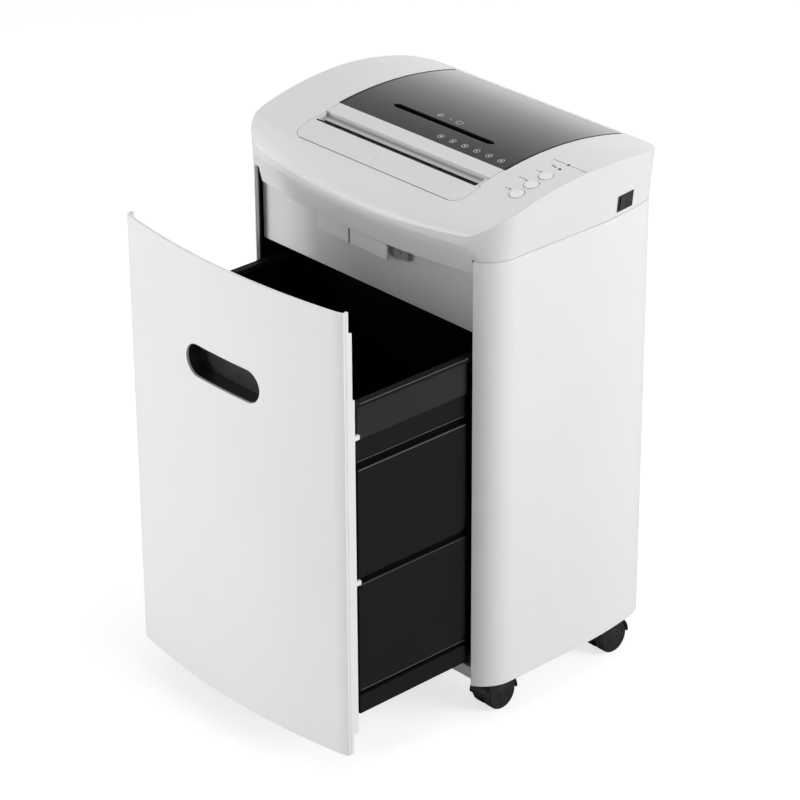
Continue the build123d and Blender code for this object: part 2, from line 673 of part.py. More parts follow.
# Head housing: tray with front wings, a strip outlet, a screw flange and two board pillars.
housing_mid_y = (HOUSING_FRONT_Y + HOUSING_REAR_Y) / 2
housing_long = HOUSING_REAR_Y - HOUSING_FRONT_Y
wing_mid_y = HOUSING_FRONT_Y + WING_LONG / 2
flange = plan_prism(FLANGE_INSET, SEAM_Z - FLANGE_THICK, SEAM_Z)
with BuildPart() as head_housing:
    with BuildSketch(Plane.XY.offset(HOUSING_BOTTOM)):
        with Locations((0, housing_mid_y)):
            RectangleRounded(2 * HOUSING_HALF_X, housing_long, HOUSING_CORNER_R)
        with Locations((0, wing_mid_y)):
            RectangleRounded(2 * WING_HALF_X, WING_LONG, WING_CORNER_R)
    extrude(amount=SEAM_Z - HOUSING_BOTTOM)
    add(flange)
    with BuildSketch(Plane.XY.offset(HOUSING_BOTTOM + HOUSING_WALL)):
        with Locations((0, housing_mid_y)):
            RectangleRounded(
                2 * (HOUSING_HALF_X - HOUSING_WALL),
                housing_long - 2 * HOUSING_WALL,
                HOUSING_CORNER_R - HOUSING_WALL,
            )
        with Locations((0, wing_mid_y)):
            RectangleRounded(
                2 * (WING_HALF_X - HOUSING_WALL),
                WING_LONG - 2 * HOUSING_WALL,
                WING_CORNER_R - HOUSING_WALL,
            )
    extrude(amount=SEAM_Z, mode=Mode.SUBTRACT)
    with Locations((0, NIP_Y, HOUSING_BOTTOM)):
        Box(2 * OUTLET_HALF, OUTLET_LONG, 20, mode=Mode.SUBTRACT)
    with Locations(*[(x, y, SEAM_Z) for x, y in boss_spots]):
        Cylinder(SCREW_R + RUN_FIT, 20, mode=Mode.SUBTRACT)
    with Locations(*[(BOARD_PILLAR_X, y, SEAM_Z - 1) for y in BOARD_PILLAR_YS]):
        Cylinder(3, BOARD_Z - SEAM_Z + 1, align=(Align.CENTER, Align.CENTER, Align.MIN))
keep(head_housing.part, "head_housing")

# Screws that draw the housing up to the cover.
with BuildPart() as cover_screws:
    with Locations(*[(x, y, SEAM_Z - FLANGE_THICK) for x, y in boss_spots]):
        Cylinder(3.5, 2.4, align=(Align.CENTER, Align.CENTER, Align.MAX))
        Cylinder(SCREW_R, FLANGE_THICK + 9, align=(Align.CENTER, Align.CENTER, Align.MIN))
keep(cover_screws.part, "cover_screws")

# Interlock: a slit tab behind the lip, a grey switch beside it and its sprung plunger.
tab_top = SEAM_Z - FLANGE_THICK
tab_y = FRONT_Y + 18.5
with BuildPart() as interlock_bracket:
    with BuildSketch(Plane.XZ.offset(-tab_y)):
        with BuildLine():
            Polyline(
                (TAB_LEFT, tab_top),
                (TAB_LEFT, TAB_BOTTOM),
                (TAB_RIGHT, TAB_BOTTOM),
                (TAB_RIGHT, SWITCH_BLOCK_TOP),
                (SWITCH_BLOCK_RIGHT, SWITCH_BLOCK_TOP),
                (SWITCH_BLOCK_RIGHT, tab_top),
                close=True,
            )
        make_face()
        with Locations((TAB_SLIT_X, TAB_BOTTOM)):
            Rectangle(1.4, 2 * TAB_SLIT_TALL, mode=Mode.SUBTRACT)
    extrude(amount=-TAB_THICK)
keep(interlock_bracket.part, "interlock_bracket")

plunger_x = (TAB_RIGHT + SWITCH_BLOCK_RIGHT) / 2
plunger_z = (TAB_BOTTOM + SWITCH_BLOCK_TOP) / 2
block_front_y = HOUSING_FRONT_Y - SWITCH_BLOCK_DEEP
plunger_tip_y = block_front_y - 1.6
with BuildPart() as interlock_switch:
    with Locations((plunger_x, block_front_y, plunger_z + 2)):
        Box(
            SWITCH_BLOCK_RIGHT - TAB_RIGHT - 0.4,
            SWITCH_BLOCK_DEEP,
            SWITCH_BLOCK_TOP - TAB_BOTTOM - 4,
            align=(Align.CENTER, Align.MIN, Align.CENTER),
        )
    with Locations(Location((plunger_x, block_front_y, plunger_z), (90, 0, 0))):
        Cylinder(PLUNGER_R + RUN_FIT, 3 * SWITCH_BLOCK_DEEP, mode=Mode.SUBTRACT)
keep(interlock_switch.part, "interlock_switch")

with BuildPart() as interlock_plunger:
    with Locations(Location((plunger_x, plunger_tip_y, plunger_z), (-90, 0, 0))):
        Cylinder(PLUNGER_R, PLUNGER_LONG, align=(Align.CENTER, Align.CENTER, Align.MIN))
    fillet(interlock_plunger.edges().group_by(Axis.Y)[0], 0.8)
keep(interlock_plunger.part, "interlock_plunger")

# Power switch on the right side: flanged frame and a rocking paddle on two stub pins.
paddle_plane = Plane(
    (switch_x, SWITCH_Y, SWITCH_Z),
    x_dir=switch_plane.x_dir,
    z_dir=switch_plane.x_dir.cross(switch_plane.z_dir),
)
with BuildPart() as rocker_bezel:
    with BuildSketch(switch_plane):
        Rectangle(SWITCH_LONG, SWITCH_TALL)
    extrude(amount=0.8)
    with BuildSketch(switch_plane):
        Rectangle(SWITCH_LONG - 1.6, SWITCH_TALL - 1.6)
    extrude(amount=-14)
    with BuildSketch(switch_plane.offset(-9)):
        Rectangle(PADDLE_LONG + 2, PADDLE_TALL + 0.6)
    extrude(amount=20, mode=Mode.SUBTRACT)
    with BuildSketch(paddle_plane):
        with Locations((0, -PADDLE_PIVOT_DEPTH)):
            Circle(PADDLE_PIN_R + RUN_FIT)
    extrude(amount=SWITCH_TALL / 2 - 1.2, both=True, mode=Mode.SUBTRACT)
keep(rocker_bezel.part, "rocker_bezel")

with BuildPart() as rocker_paddle:
    with BuildSketch(paddle_plane):
        with BuildLine():
            Polyline(
                (-PADDLE_LONG / 2, 1.5),
                (0, 0.4),
                (PADDLE_LONG / 2, 1.5),
                (PADDLE_LONG / 2 - 2, -6.5),
                (-PADDLE_LONG / 2 + 2, -6.5),
                close=True,
            )
        make_face()
    extrude(amount=PADDLE_TALL / 2, both=True)
    with BuildSketch(paddle_plane):
        with Locations((0, -PADDLE_PIVOT_DEPTH)):
            Circle(PADDLE_PIN_R)
    extrude(amount=SWITCH_TALL / 2 - 1.4, both=True)
keep(rocker_paddle.part, "rocker_paddle")

# Circuit board on the housing pillars, with one tactile switch under each button.
with BuildPart() as control_board:
    with Locations(((BOARD_X[0] + BOARD_X[1]) / 2, (BOARD_Y[0] + BOARD_Y[1]) / 2, BOARD_Z)):
        Box(
            BOARD_X[1] - BOARD_X[0],
            BOARD_Y[1] - BOARD_Y[0],
            BOARD_THICK,
            align=(Align.CENTER, Align.CENTER, Align.MIN),
        )
    with Locations(*[(BUTTON_X, y, BOARD_Z + BOARD_THICK) for y in BUTTON_YS]):
        Box(6, 6, TACT_TALL, align=(Align.CENTER, Align.CENTER, Align.MIN))
keep(control_board.part, "control_board")

# Push buttons: round caps in the crown with a retaining collar and a stem to the board.
for name, y in zip(BUTTON_NAMES, BUTTON_YS):
    seat = crown_plane(BUTTON_X, y)
    stem = seat.origin.Z - BOARD_Z - BOARD_THICK - TACT_TALL - BUTTON_TRAVEL - 1
    with BuildPart() as button:
        with Locations(seat):
            Cylinder(BUTTON_R, 5.4, align=(Align.CENTER, Align.CENTER, Align.MAX))
            with Locations((0, 0, -4.2)):
                Cylinder(BUTTON_R + 1.8, 1.4, align=(Align.CENTER, Align.CENTER, Align.MAX))
            Cylinder(2.5, stem, align=(Align.CENTER, Align.CENTER, Align.MAX))
        with BuildSketch(seat):
            Circle(BUTTON_R)
        extrude(amount=0.5)
    keep(button.part, name)

# Status lights: two small lenses set in the crown.
with BuildPart() as status_lights:
    for y in LIGHT_YS:
        with Locations(crown_plane(BUTTON_X, y).offset(-3.8)):
            Cylinder(LIGHT_R, 4.2, align=(Align.CENTER, Align.CENTER, Align.MIN))
keep(status_lights.part, "status_lights")

# Side plates of the cutting block; the left one also carries the gear post and the motor.
plate_foot = HOUSING_BOTTOM + HOUSING_WALL
shaft_spots = ((FRONT_SHAFT_Y, CUTTER_Z), (REAR_SHAFT_Y, CUTTER_Z))


def side_plate(inner_x, outer_x, rear_y):
    """Upright plate between two X faces, bored for the shaft bushes."""
    with BuildPart() as plate:
        with BuildSketch(Plane.YZ.offset(min(inner_x, outer_x))):
            with Locations(((PLATE_FRONT_Y + rear_y) / 2, (plate_foot + PLATE_TOP) / 2)):
                Rectangle(rear_y - PLATE_FRONT_Y, PLATE_TOP - plate_foot)
            with Locations(*shaft_spots):
                Circle(BUSH_R, mode=Mode.SUBTRACT)
        extrude(amount=abs(outer_x - inner_x))
    return plate.part


plate_out = PLATE_X + PLATE_THICK
left_blank = side_plate(-PLATE_X, -plate_out, LEFT_PLATE_REAR_Y)
with BuildPart() as cutter_plate_left:
    add(left_blank)
    with BuildSketch(Plane.YZ.offset(-plate_out - 1)):
        with Locations((MOTOR_Y, MOTOR_Z)):
            Circle(MOTOR_BOSS_R)
    extrude(amount=PLATE_THICK + 2, mode=Mode.SUBTRACT)
keep(cutter_plate_left.part, "cutter_plate_left")
keep(side_plate(PLATE_X, plate_out, RIGHT_PLATE_REAR_Y), "cutter_plate_right")

# Tie bars that hold the plates apart.
with BuildPart() as tie_bars:
    with BuildSketch(Plane.YZ.offset(-PLATE_X)):
        with Locations(*TIE_SPOTS):
            Circle(TIE_R)
    extrude(amount=2 * PLATE_X)
keep(tie_bars.part, "tie_bars")

# Flanged bushes for both shafts in both plates.
with BuildPart() as shaft_bushes:
    for side in (-1, 1):
        with BuildSketch(Plane.YZ.offset(side * PLATE_X)):
            with Locations(*shaft_spots):
                Circle(BUSH_R)
                Circle(JOURNAL_R + RUN_FIT, mode=Mode.SUBTRACT)
        extrude(amount=side * PLATE_THICK)
        with BuildSketch(Plane.YZ.offset(side * plate_out)):
            with Locations(*shaft_spots):
                Circle(BUSH_R + 2)
                Circle(JOURNAL_R + RUN_FIT, mode=Mode.SUBTRACT)
        extrude(amount=side * 2)
keep(shaft_bushes.part, "shaft_bushes")


def comb(bar_y, tip_y, first_x):
    """Comb bar between the plates with one finger in each gap of a cutter."""
    bar_edge = bar_y + 3 if tip_y > bar_y else bar_y - 3
    with BuildPart() as fingers:
        with BuildSketch(Plane.XY.offset(CUTTER_Z - COMB_TALL / 2)):
            with Locations((0, (bar_y + bar_edge) / 2)):
                Rectangle(2 * PLATE_X, 3)
            gaps = [first_x + CUTTER_PITCH * i for i in range(CUTTER_COUNT - 1)]
            with Locations(*[(x, (bar_y + tip_y) / 2) for x in gaps]):
                Rectangle(COMB_FINGER, abs(tip_y - bar_y))
        extrude(amount=COMB_TALL)
    return fingers.part


front_first_x = -CUTTER_PITCH * (CUTTER_COUNT - 1) / 2
rear_first_x = front_first_x + CUTTER_PITCH / 2
bar_reach = CUTTER_R + 4.2
tip_reach = SHAFT_R + 1.5
front_gap_x = front_first_x + CUTTER_PITCH / 2
rear_gap_x = rear_first_x + CUTTER_PITCH / 2
keep(comb(FRONT_SHAFT_Y - bar_reach, FRONT_SHAFT_Y - tip_reach, front_gap_x), "stripper_front")
keep(comb(REAR_SHAFT_Y + bar_reach, REAR_SHAFT_Y + tip_reach, rear_gap_x), "stripper_rear")


def cutter_shaft(y, left_end, right_end):
    """Cutter shaft with two turned-down journals."""
    with BuildPart() as shaft:
        with BuildSketch(Plane.YZ.offset(-PLATE_X + 2)):
            with Locations((y, CUTTER_Z)):
                Circle(SHAFT_R)
        extrude(amount=2 * PLATE_X - 4)
        with BuildSketch(Plane.YZ.offset(left_end)):
            with Locations((y, CUTTER_Z)):
                Circle(JOURNAL_R)
        extrude(amount=right_end - left_end)
    return shaft.part


def cutter_discs(y, first_x):
    """Row of hooked cutter discs on one shaft."""
    hook = 360 / CUTTER_HOOKS
    starts = [first_x + CUTTER_PITCH * i - CUTTER_THICK / 2 for i in range(CUTTER_COUNT)]
    with BuildPart() as discs:
        for turn in range(3):
            with BuildSketch(*[Plane.YZ.offset(x) for x in starts[turn::3]]):
                with Locations((y, CUTTER_Z)):
                    Circle(CUTTER_R)
                    Circle(SHAFT_R + 0.02, mode=Mode.SUBTRACT)
                    with PolarLocations(CUTTER_R, CUTTER_HOOKS, start_angle=hook * turn / 3):
                        Rectangle(2 * (CUTTER_R - CUTTER_ROOT_R), 3, mode=Mode.SUBTRACT)
            extrude(amount=CUTTER_THICK)
    return discs.part


keep(cutter_shaft(FRONT_SHAFT_Y, -plate_out - 3, SYNC_X[1] + 2), "front_shaft")
keep(cutter_shaft(REAR_SHAFT_Y, DRIVE_X[0] - 1, SYNC_X[1] + 2), "rear_shaft")
keep(cutter_discs(FRONT_SHAFT_Y, front_first_x), "front_cutters")
keep(cutter_discs(REAR_SHAFT_Y, rear_first_x), "rear_cutters")


def gear(spot, teeth, module, tooth_angle, bore, span):
    """Spur gear with involute teeth; one tooth points along tooth_angle in the YZ plane."""
    pressure = radians(25)
    pitch_r = module * teeth / 2
    base_r = pitch_r * cos(pressure)
    tip_r = pitch_r + 0.9 * module
    root_r = pitch_r - 1.25 * module
    half_thick = pi / (2 * teeth) - BACKLASH / (2 * pitch_r)
    pitch_roll = tan(pressure) - pressure
    low_r = max(base_r, root_r)
    flank = []
    for i in range(FLANK_STEPS + 1):
        r = low_r + (tip_r - low_r) * i / FLANK_STEPS
        roll = acos(min(base_r / r, 1.0))
        flank.append((r, half_thick + pitch_roll - (tan(roll) - roll)))
    half_tooth = [(root_r, flank[0][1])] + flank if root_r < low_r else flank
    outline = []
    for tooth in range(teeth):
        middle = radians(tooth_angle) + 2 * pi * tooth / teeth
        outline += [(r * cos(middle - a), r * sin(middle - a)) for r, a in half_tooth]
        outline += [(r * cos(middle + a), r * sin(middle + a)) for r, a in reversed(half_tooth)]
    with BuildPart() as wheel:
        with BuildSketch(Plane.YZ.offset(span[0])):
            with Locations(spot):
                Polygon(*outline, align=None)
                Circle(bore, mode=Mode.SUBTRACT)
        extrude(amount=span[1] - span[0])
    return wheel.part


front_spot, rear_spot = shaft_spots
counter_spot = (COUNTER_Y, COUNTER_Z)
motor_spot = (MOTOR_Y, MOTOR_Z)
keep(gear(rear_spot, SYNC_TEETH, SYNC_MODULE, 180, JOURNAL_R + 0.02, SYNC_X), "rear_gear")
keep(gear(front_spot, SYNC_TEETH, SYNC_MODULE, 180 / SYNC_TEETH, JOURNAL_R + 0.02, SYNC_X), "front_gear")
keep(gear(rear_spot, DRIVE_TEETH, DRIVE_MODULE, COUNTER_ANGLE, JOURNAL_R + 0.02, DRIVE_X), "drive_gear")

# Counter gear: large wheel and small pinion in one piece, turning on a post in the left plate.
pinion_angle = COUNTER_ANGLE + 180 + 180 / DRIVE_PINION_TEETH
counter_wheel = gear(counter_spot, COUNTER_TEETH, MOTOR_MODULE, MOTOR_ANGLE, POST_R + RUN_FIT, COUNTER_X)
pinion_x = (DRIVE_X[0], COUNTER_X[0])
counter_pinion = gear(
    counter_spot, DRIVE_PINION_TEETH, DRIVE_MODULE, pinion_angle, POST_R + RUN_FIT, pinion_x
)
with BuildPart() as counter_gear:
    add(counter_wheel)
    add(counter_pinion)
keep(counter_gear.part, "counter_gear")

with BuildPart() as gear_post:
    with BuildSketch(Plane.YZ.offset(DRIVE_X[0] - 1)):
        with Locations(counter_spot):
            Circle(POST_R)
    extrude(amount=-plate_out - DRIVE_X[0] + 1)
keep(gear_post.part, "gear_post")

# Motor: ribbed round case flanged to the left plate, and its shaft with pinion.
with BuildPart() as motor_case:
    with BuildSketch(Plane.YZ.offset(-PLATE_X)):
        with Locations(motor_spot):
            Circle(MOTOR_R)
    extrude(amount=MOTOR_LENGTH)
    with BuildSketch(Plane.YZ.offset(-PLATE_X + 20)):
        with Locations(motor_spot):
            Circle(MOTOR_R)
            Circle(MOTOR_R - 2, mode=Mode.SUBTRACT)
    extrude(amount=MOTOR_LENGTH - 40, mode=Mode.SUBTRACT)
    with BuildSketch(Plane.YZ.offset(-plate_out)):
        with Locations(motor_spot):
            Circle(MOTOR_BOSS_R - 0.2)
    extrude(amount=PLATE_THICK)
    with BuildSketch(Plane.YZ.offset(-plate_out - 1)):
        with Locations(motor_spot):
            Circle(MOTOR_SHAFT_R + RUN_FIT)
    extrude(amount=MOTOR_LENGTH - 6, mode=Mode.SUBTRACT)
keep(motor_case.part, "motor_case")

motor_tooth = MOTOR_ANGLE + 180 + 180 / MOTOR_TEETH
motor_pinion = gear(motor_spot, MOTOR_TEETH, MOTOR_MODULE, motor_tooth, MOTOR_SHAFT_R - 0.5, COUNTER_X)
with BuildPart() as motor_shaft:
    with BuildSketch(Plane.YZ.offset(COUNTER_X[0] - 2)):
        with Locations(motor_spot):
            Circle(MOTOR_SHAFT_R)
    extrude(amount=MOTOR_LENGTH)
    add(motor_pinion)
keep(motor_shaft.part, "motor_shaft")

# Cord gland in the rear of the cover, flush with the rear face.
with BuildPart() as cord_gland:
    with BuildSketch(Plane.XZ.offset(-REAR_Y + 0.3)):
        with Locations((GLAND_X, GLAND_Z)):
            Circle(GLAND_R)
            Circle(3.6, mode=Mode.SUBTRACT)
    extrude(amount=12)
keep(cord_gland.part, "cord_gland")

# Drawer front: curved panel with stepped return flanges, screw posts, a handle slot and a striker
# that pushes the interlock plunger in when the drawer is shut.
edge_y = FRONT_Y + 21.5
panel_outer = plan_prism(0, PANEL_BOTTOM_Z, PANEL_TOP_Z)
panel_inner = plan_prism(PANEL_WALL, PANEL_BOTTOM_Z - 1, PANEL_TOP_Z + 1)
panel_span = block(-PANEL_HALF, PANEL_HALF, FRONT_Y - 10, 0, PANEL_BOTTOM_Z - 1, PANEL_TOP_Z + 1)
post_spots = [(x, z) for x in (-POST_X, POST_X) for z in POST_ZS]
with BuildPart() as drawer_front:
    add(panel_outer)
    add(panel_inner, mode=Mode.SUBTRACT)
    add(panel_span, mode=Mode.INTERSECT)
    for side in (-1, 1):
        for bottom, top, deep in FLANGE_STEPS:
            with Locations((side * (PANEL_HALF - FLANGE_WALL / 2), edge_y, bottom)):
                Box(FLANGE_WALL, deep, top - bottom, align=(Align.CENTER, Align.MIN, Align.MIN))
    with Locations((plunger_x, plunger_tip_y - 0.6, plunger_z)):
        Box(
            STRIKER_WIDE,
            plunger_tip_y - FRONT_Y - 4.2,
            STRIKER_TALL,
            align=(Align.CENTER, Align.MAX, Align.CENTER),
        )
    with BuildSketch(Plane.XZ.offset(-BIN_FRONT_Y)):
        with Locations(*post_spots):
            Circle(POST_WIDE_R)
    extrude(amount=BIN_FRONT_Y - FRONT_Y - 7)
    with BuildSketch(Plane.XZ.offset(-BIN_FRONT_Y)):
        with Locations(*post_spots):
            Circle(DRAWER_SCREW_R + RUN_FIT)
    extrude(amount=14, mode=Mode.SUBTRACT)
    with BuildSketch(Plane.XZ.offset(-BIN_FRONT_Y)):
        with Locations((0, HANDLE_Z)):
            SlotOverall(HANDLE_LONG, HANDLE_TALL)
    extrude(amount=60, mode=Mode.SUBTRACT)
keep(drawer_front.part, "drawer_front", -DRAWER_OUT)

# Handle cup: black obround pocket behind the slot, seated on the back of the panel.
cup_seat = plan_prism(PANEL_WALL, PANEL_BOTTOM_Z, PANEL_TOP_Z)
cup_back_y = FRONT_Y + PANEL_WALL + CUP_DEPTH
with BuildPart() as handle_cup:
    with BuildSketch(Plane.XZ.offset(-cup_back_y)):
        with Locations((0, HANDLE_Z)):
            SlotOverall(HANDLE_LONG + 5, HANDLE_TALL + 5)
    extrude(amount=CUP_DEPTH + 5)
    with BuildSketch(Plane.XZ.offset(-cup_back_y + 2)):
        with Locations((0, HANDLE_Z)):
            SlotOverall(HANDLE_LONG, HANDLE_TALL)
    extrude(amount=CUP_DEPTH + 5, mode=Mode.SUBTRACT)
    add(cup_seat, mode=Mode.INTERSECT)
keep(handle_cup.part, "handle_cup", -DRAWER_OUT)

# Waste bin: tall open box, and its flanged rim.
bin_mid_y = (BIN_FRONT_Y + BIN_REAR_Y) / 2
bin_long = BIN_REAR_Y - BIN_FRONT_Y
with BuildPart() as waste_bin:
    with BuildSketch(Plane.XY.offset(BIN_BOTTOM)):
        with Locations((0, bin_mid_y)):
            RectangleRounded(2 * BIN_HALF, bin_long, BIN_CORNER_R)
    extrude(amount=BIN_TOP - RIM_TALL - BIN_BOTTOM)
    with BuildSketch(Plane.XY.offset(BIN_BOTTOM + BIN_WALL)):
        with Locations((0, bin_mid_y)):
            RectangleRounded(
                2 * (BIN_HALF - BIN_WALL), bin_long - 2 * BIN_WALL, BIN_CORNER_R - BIN_WALL
            )
    extrude(amount=BIN_TOP, mode=Mode.SUBTRACT)
    with BuildSketch(Plane.XZ.offset(-BIN_FRONT_Y - 10)):
        with Locations(*post_spots):
            Circle(DRAWER_SCREW_R + RUN_FIT)
    extrude(amount=20, mode=Mode.SUBTRACT)
keep(waste_bin.part, "waste_bin", -DRAWER_OUT)

with BuildPart() as bin_rim:
    with BuildSketch(Plane.XY.offset(BIN_TOP - RIM_TALL)):
        with Locations((0, bin_mid_y)):
            RectangleRounded(2 * (BIN_HALF + RIM_REACH), bin_long, BIN_CORNER_R)
            RectangleRounded(
                2 * (BIN_HALF - BIN_WALL),
                bin_long - 2 * BIN_WALL,
                BIN_CORNER_R - BIN_WALL,
                mode=Mode.SUBTRACT,
            )
    extrude(amount=RIM_TALL)
keep(bin_rim.part, "bin_rim", -DRAWER_OUT)

# Side mouldings of the drawer: a thin sheet with raised panels, so that grooves run between them.
panel_long = SIDE_PANEL_REAR_Y - SIDE_PANEL_FRONT_Y
panel_mid_y = (SIDE_PANEL_FRONT_Y + SIDE_PANEL_REAR_Y) / 2
for name, side in (("drawer_side_left", -1), ("drawer_side_right", 1)):
    with BuildPart() as moulding:
        with BuildSketch(Plane.YZ.offset(side * BIN_HALF)):
            with Locations((panel_mid_y, (SIDE_PANELS[0][0] + BIN_TOP - RIM_TALL) / 2)):
                Rectangle(panel_long, BIN_TOP - RIM_TALL - SIDE_PANELS[0][0])
        extrude(amount=side * SIDE_SHEET)
        with BuildSketch(Plane.YZ.offset(side * BIN_HALF)):
            for bottom, top, cut in SIDE_PANELS:
                Polygon(
                    (SIDE_PANEL_FRONT_Y, bottom),
                    (SIDE_PANEL_REAR_Y - cut, bottom),
                    (SIDE_PANEL_REAR_Y, bottom + cut),
                    (SIDE_PANEL_REAR_Y, top),
                    (SIDE_PANEL_FRONT_Y, top),
                    align=None,
                )
        extrude(amount=side * SIDE_PANEL_THICK)
    keep(moulding.part, name, -DRAWER_OUT)

# White clips that tie the return flanges to the side mouldings.
clip_inner = BIN_HALF + SIDE_PANEL_THICK
clip_outer = PANEL_HALF - FLANGE_WALL
with BuildPart() as panel_clips:
    clip_x = (clip_inner + clip_outer) / 2
    with Locations(*[(x, CLIP_Y, z) for x in (-clip_x, clip_x) for z in CLIP_ZS]):
        Box(clip_outer - clip_inner, CLIP_LONG, CLIP_TALL)
keep(panel_clips.part, "panel_clips", -DRAWER_OUT)

# Runners under the bin, riding in the cabinet rails.
with BuildPart() as drawer_runners:
    with Locations((-RAIL_X, BIN_FRONT_Y, RUNNER_BOTTOM), (RAIL_X, BIN_FRONT_Y, RUNNER_BOTTOM)):
        Box(
            RUNNER_WIDE,
            RAIL_REAR_Y - BIN_FRONT_Y,
            BIN_BOTTOM - RUNNER_BOTTOM,
            align=(Align.CENTER, Align.MIN, Align.MIN),
        )
keep(drawer_runners.part, "drawer_runners", -DRAWER_OUT)

# Screws from inside the bin into the posts of the drawer front.
with BuildPart() as drawer_screws:
    with BuildSketch(Plane.XZ.offset(-BIN_FRONT_Y - BIN_WALL)):
        with Locations(*post_spots):
            Circle(4)
    extrude(amount=-2)
    with BuildSketch(Plane.XZ.offset(-BIN_FRONT_Y - BIN_WALL)):
        with Locations(*post_spots):
            Circle(DRAWER_SCREW_R)
    extrude(amount=BIN_WALL + 12)
keep(drawer_screws.part, "drawer_screws", -DRAWER_OUT)

# Castors: a hooded fork that swivels on its stem, and two wheels on its stub axle.
for end, swivel_y in (("front", CASTOR_FRONT_Y), ("rear", CASTOR_REAR_Y)):
    axle_y = swivel_y + CASTOR_TRAIL
    for hand, x in (("left", -CASTOR_X), ("right", CASTOR_X)):
        with BuildPart() as fork:
            with BuildSketch(Plane.YZ.offset(x - HOOD_HALF)):
                with Locations((axle_y, WHEEL_R)):
                    Circle(HOOD_R)
                    Circle(HOOD_R - HOOD_WALL, mode=Mode.SUBTRACT)
                with Locations((axle_y, WHEEL_R - HOOD_R)):
                    Rectangle(3 * HOOD_R, 2 * HOOD_R, mode=Mode.SUBTRACT)
            extrude(amount=2 * HOOD_HALF)
            with BuildSketch(Plane.YZ.offset(x - WEB_HALF)):
                with Locations((axle_y, WHEEL_R)):
                    Circle(WHEEL_R - 4)
                with Locations((axle_y, WHEEL_R + HOOD_R / 2 - 1)):
                    Rectangle(WHEEL_R, HOOD_R - 2)
            extrude(amount=2 * WEB_HALF)
            with Locations((x, swivel_y, BOSS_BOTTOM)):
                Cylinder(9, BOSS_TOP - BOSS_BOTTOM, align=(Align.CENTER, Align.CENTER, Align.MIN))
                Cylinder(STEM_R, STEM_TOP - BOSS_BOTTOM, align=(Align.CENTER, Align.CENTER, Align.MIN))
            with BuildSketch(Plane.YZ.offset(x - HOOD_HALF)):
                with Locations((axle_y, WHEEL_R)):
                    Circle(AXLE_R)
            extrude(amount=2 * HOOD_HALF)
        keep(fork.part, f"castor_fork_{end}_{hand}")
        with BuildPart() as wheels:
            for side in (-1, 1):
                with BuildSketch(Plane.YZ.offset(x + side * (WEB_HALF + WHEEL_SIDE_GAP))):
                    with Locations((axle_y, WHEEL_R)):
                        Circle(WHEEL_R)
                        Circle(AXLE_R + RUN_FIT, mode=Mode.SUBTRACT)
                extrude(amount=side * WHEEL_WIDE)
            rims = wheels.edges().filter_by(GeomType.CIRCLE).filter_by(lambda e: e.radius > WHEEL_R - 1)
            fillet(rims.group_by(Axis.X)[0] + rims.group_by(Axis.X)[-1], 2.5)
        keep(wheels.part, f"castor_wheels_{end}_{hand}")
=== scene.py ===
"""Looks of a paper shredder: an upright white cabinet with a crowned cutting head and a waste drawer."""

import math

import bmesh
import bpy
import numpy as np
from mathutils import Matrix, Vector


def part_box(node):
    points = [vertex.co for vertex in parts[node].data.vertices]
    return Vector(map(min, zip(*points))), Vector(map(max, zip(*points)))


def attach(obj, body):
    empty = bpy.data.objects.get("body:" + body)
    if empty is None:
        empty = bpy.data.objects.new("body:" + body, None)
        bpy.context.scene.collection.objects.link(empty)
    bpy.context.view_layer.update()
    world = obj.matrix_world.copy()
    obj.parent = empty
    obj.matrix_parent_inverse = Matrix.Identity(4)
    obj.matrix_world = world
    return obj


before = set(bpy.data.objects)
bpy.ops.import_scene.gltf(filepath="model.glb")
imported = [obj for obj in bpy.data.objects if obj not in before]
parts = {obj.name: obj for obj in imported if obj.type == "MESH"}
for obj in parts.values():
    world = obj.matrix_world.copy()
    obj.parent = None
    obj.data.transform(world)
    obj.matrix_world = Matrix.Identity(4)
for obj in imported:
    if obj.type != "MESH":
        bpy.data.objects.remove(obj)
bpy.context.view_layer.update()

# Cabinet: one wrapped wall and a floor, moulded in white styrene with a fine spark-eroded grain.
# The same white resin is used for the cover, the drawer front and the small fittings.
# The wall snaps round the floor; its open front takes the drawer.


def new_finish(name):
    """An empty finish, its node tree and its Principled surface."""
    finish = bpy.data.materials.new(name)
    finish.use_nodes = True
    return finish, finish.node_tree, finish.node_tree.nodes["Principled BSDF"]


def node(tree, kind, **sockets):
    """One shader node; a keyword sets the input of that name, or joins it to an output."""
    made = tree.nodes.new("ShaderNode" + kind)
    for key, value in sockets.items():
        socket = made.inputs[key.replace("_", " ")]
        if isinstance(value, bpy.types.NodeSocket):
            tree.links.new(value, socket)
        else:
            socket.default_value = value
    return made


def between(tree, factor, low, high, low_at=0.0, high_at=1.0):
    """A number that runs from low to high while the factor runs from low_at to high_at."""
    ramp = node(tree, "MapRange", Value=factor, From_Min=low_at, From_Max=high_at, To_Min=low, To_Max=high)
    return ramp.outputs["Result"]


def tones(tree, factor, first, second, start=0.0, end=1.0):
    """A colour that runs from the first tone to the second between two places of the factor."""
    ramp = node(tree, "ValToRGB", Fac=factor)
    ramp.color_ramp.elements[0].position = start
    ramp.color_ramp.elements[0].color = (*first, 1.0)
    ramp.color_ramp.elements[1].position = end
    ramp.color_ramp.elements[1].color = (*second, 1.0)
    return ramp.outputs["Color"]


def softened(tree, radius):
    """A normal that rounds sharp edges by a radius."""
    soft = node(tree, "Bevel", Radius=radius)
    soft.samples = 4
    return soft.outputs["Normal"]


def edge_mask(tree, soft_normal):
    """1 along the edges, where the rounded normal leaves the face's own, and 0 on the flats."""
    plain = node(tree, "NewGeometry").outputs["Normal"]
    along = node(tree, "VectorMath")
    along.operation = "DOT_PRODUCT"
    tree.links.new(soft_normal, along.inputs[0])
    tree.links.new(plain, along.inputs[1])
    return between(tree, along.outputs["Value"], 1.0, 0.0, 0.86, 0.995)


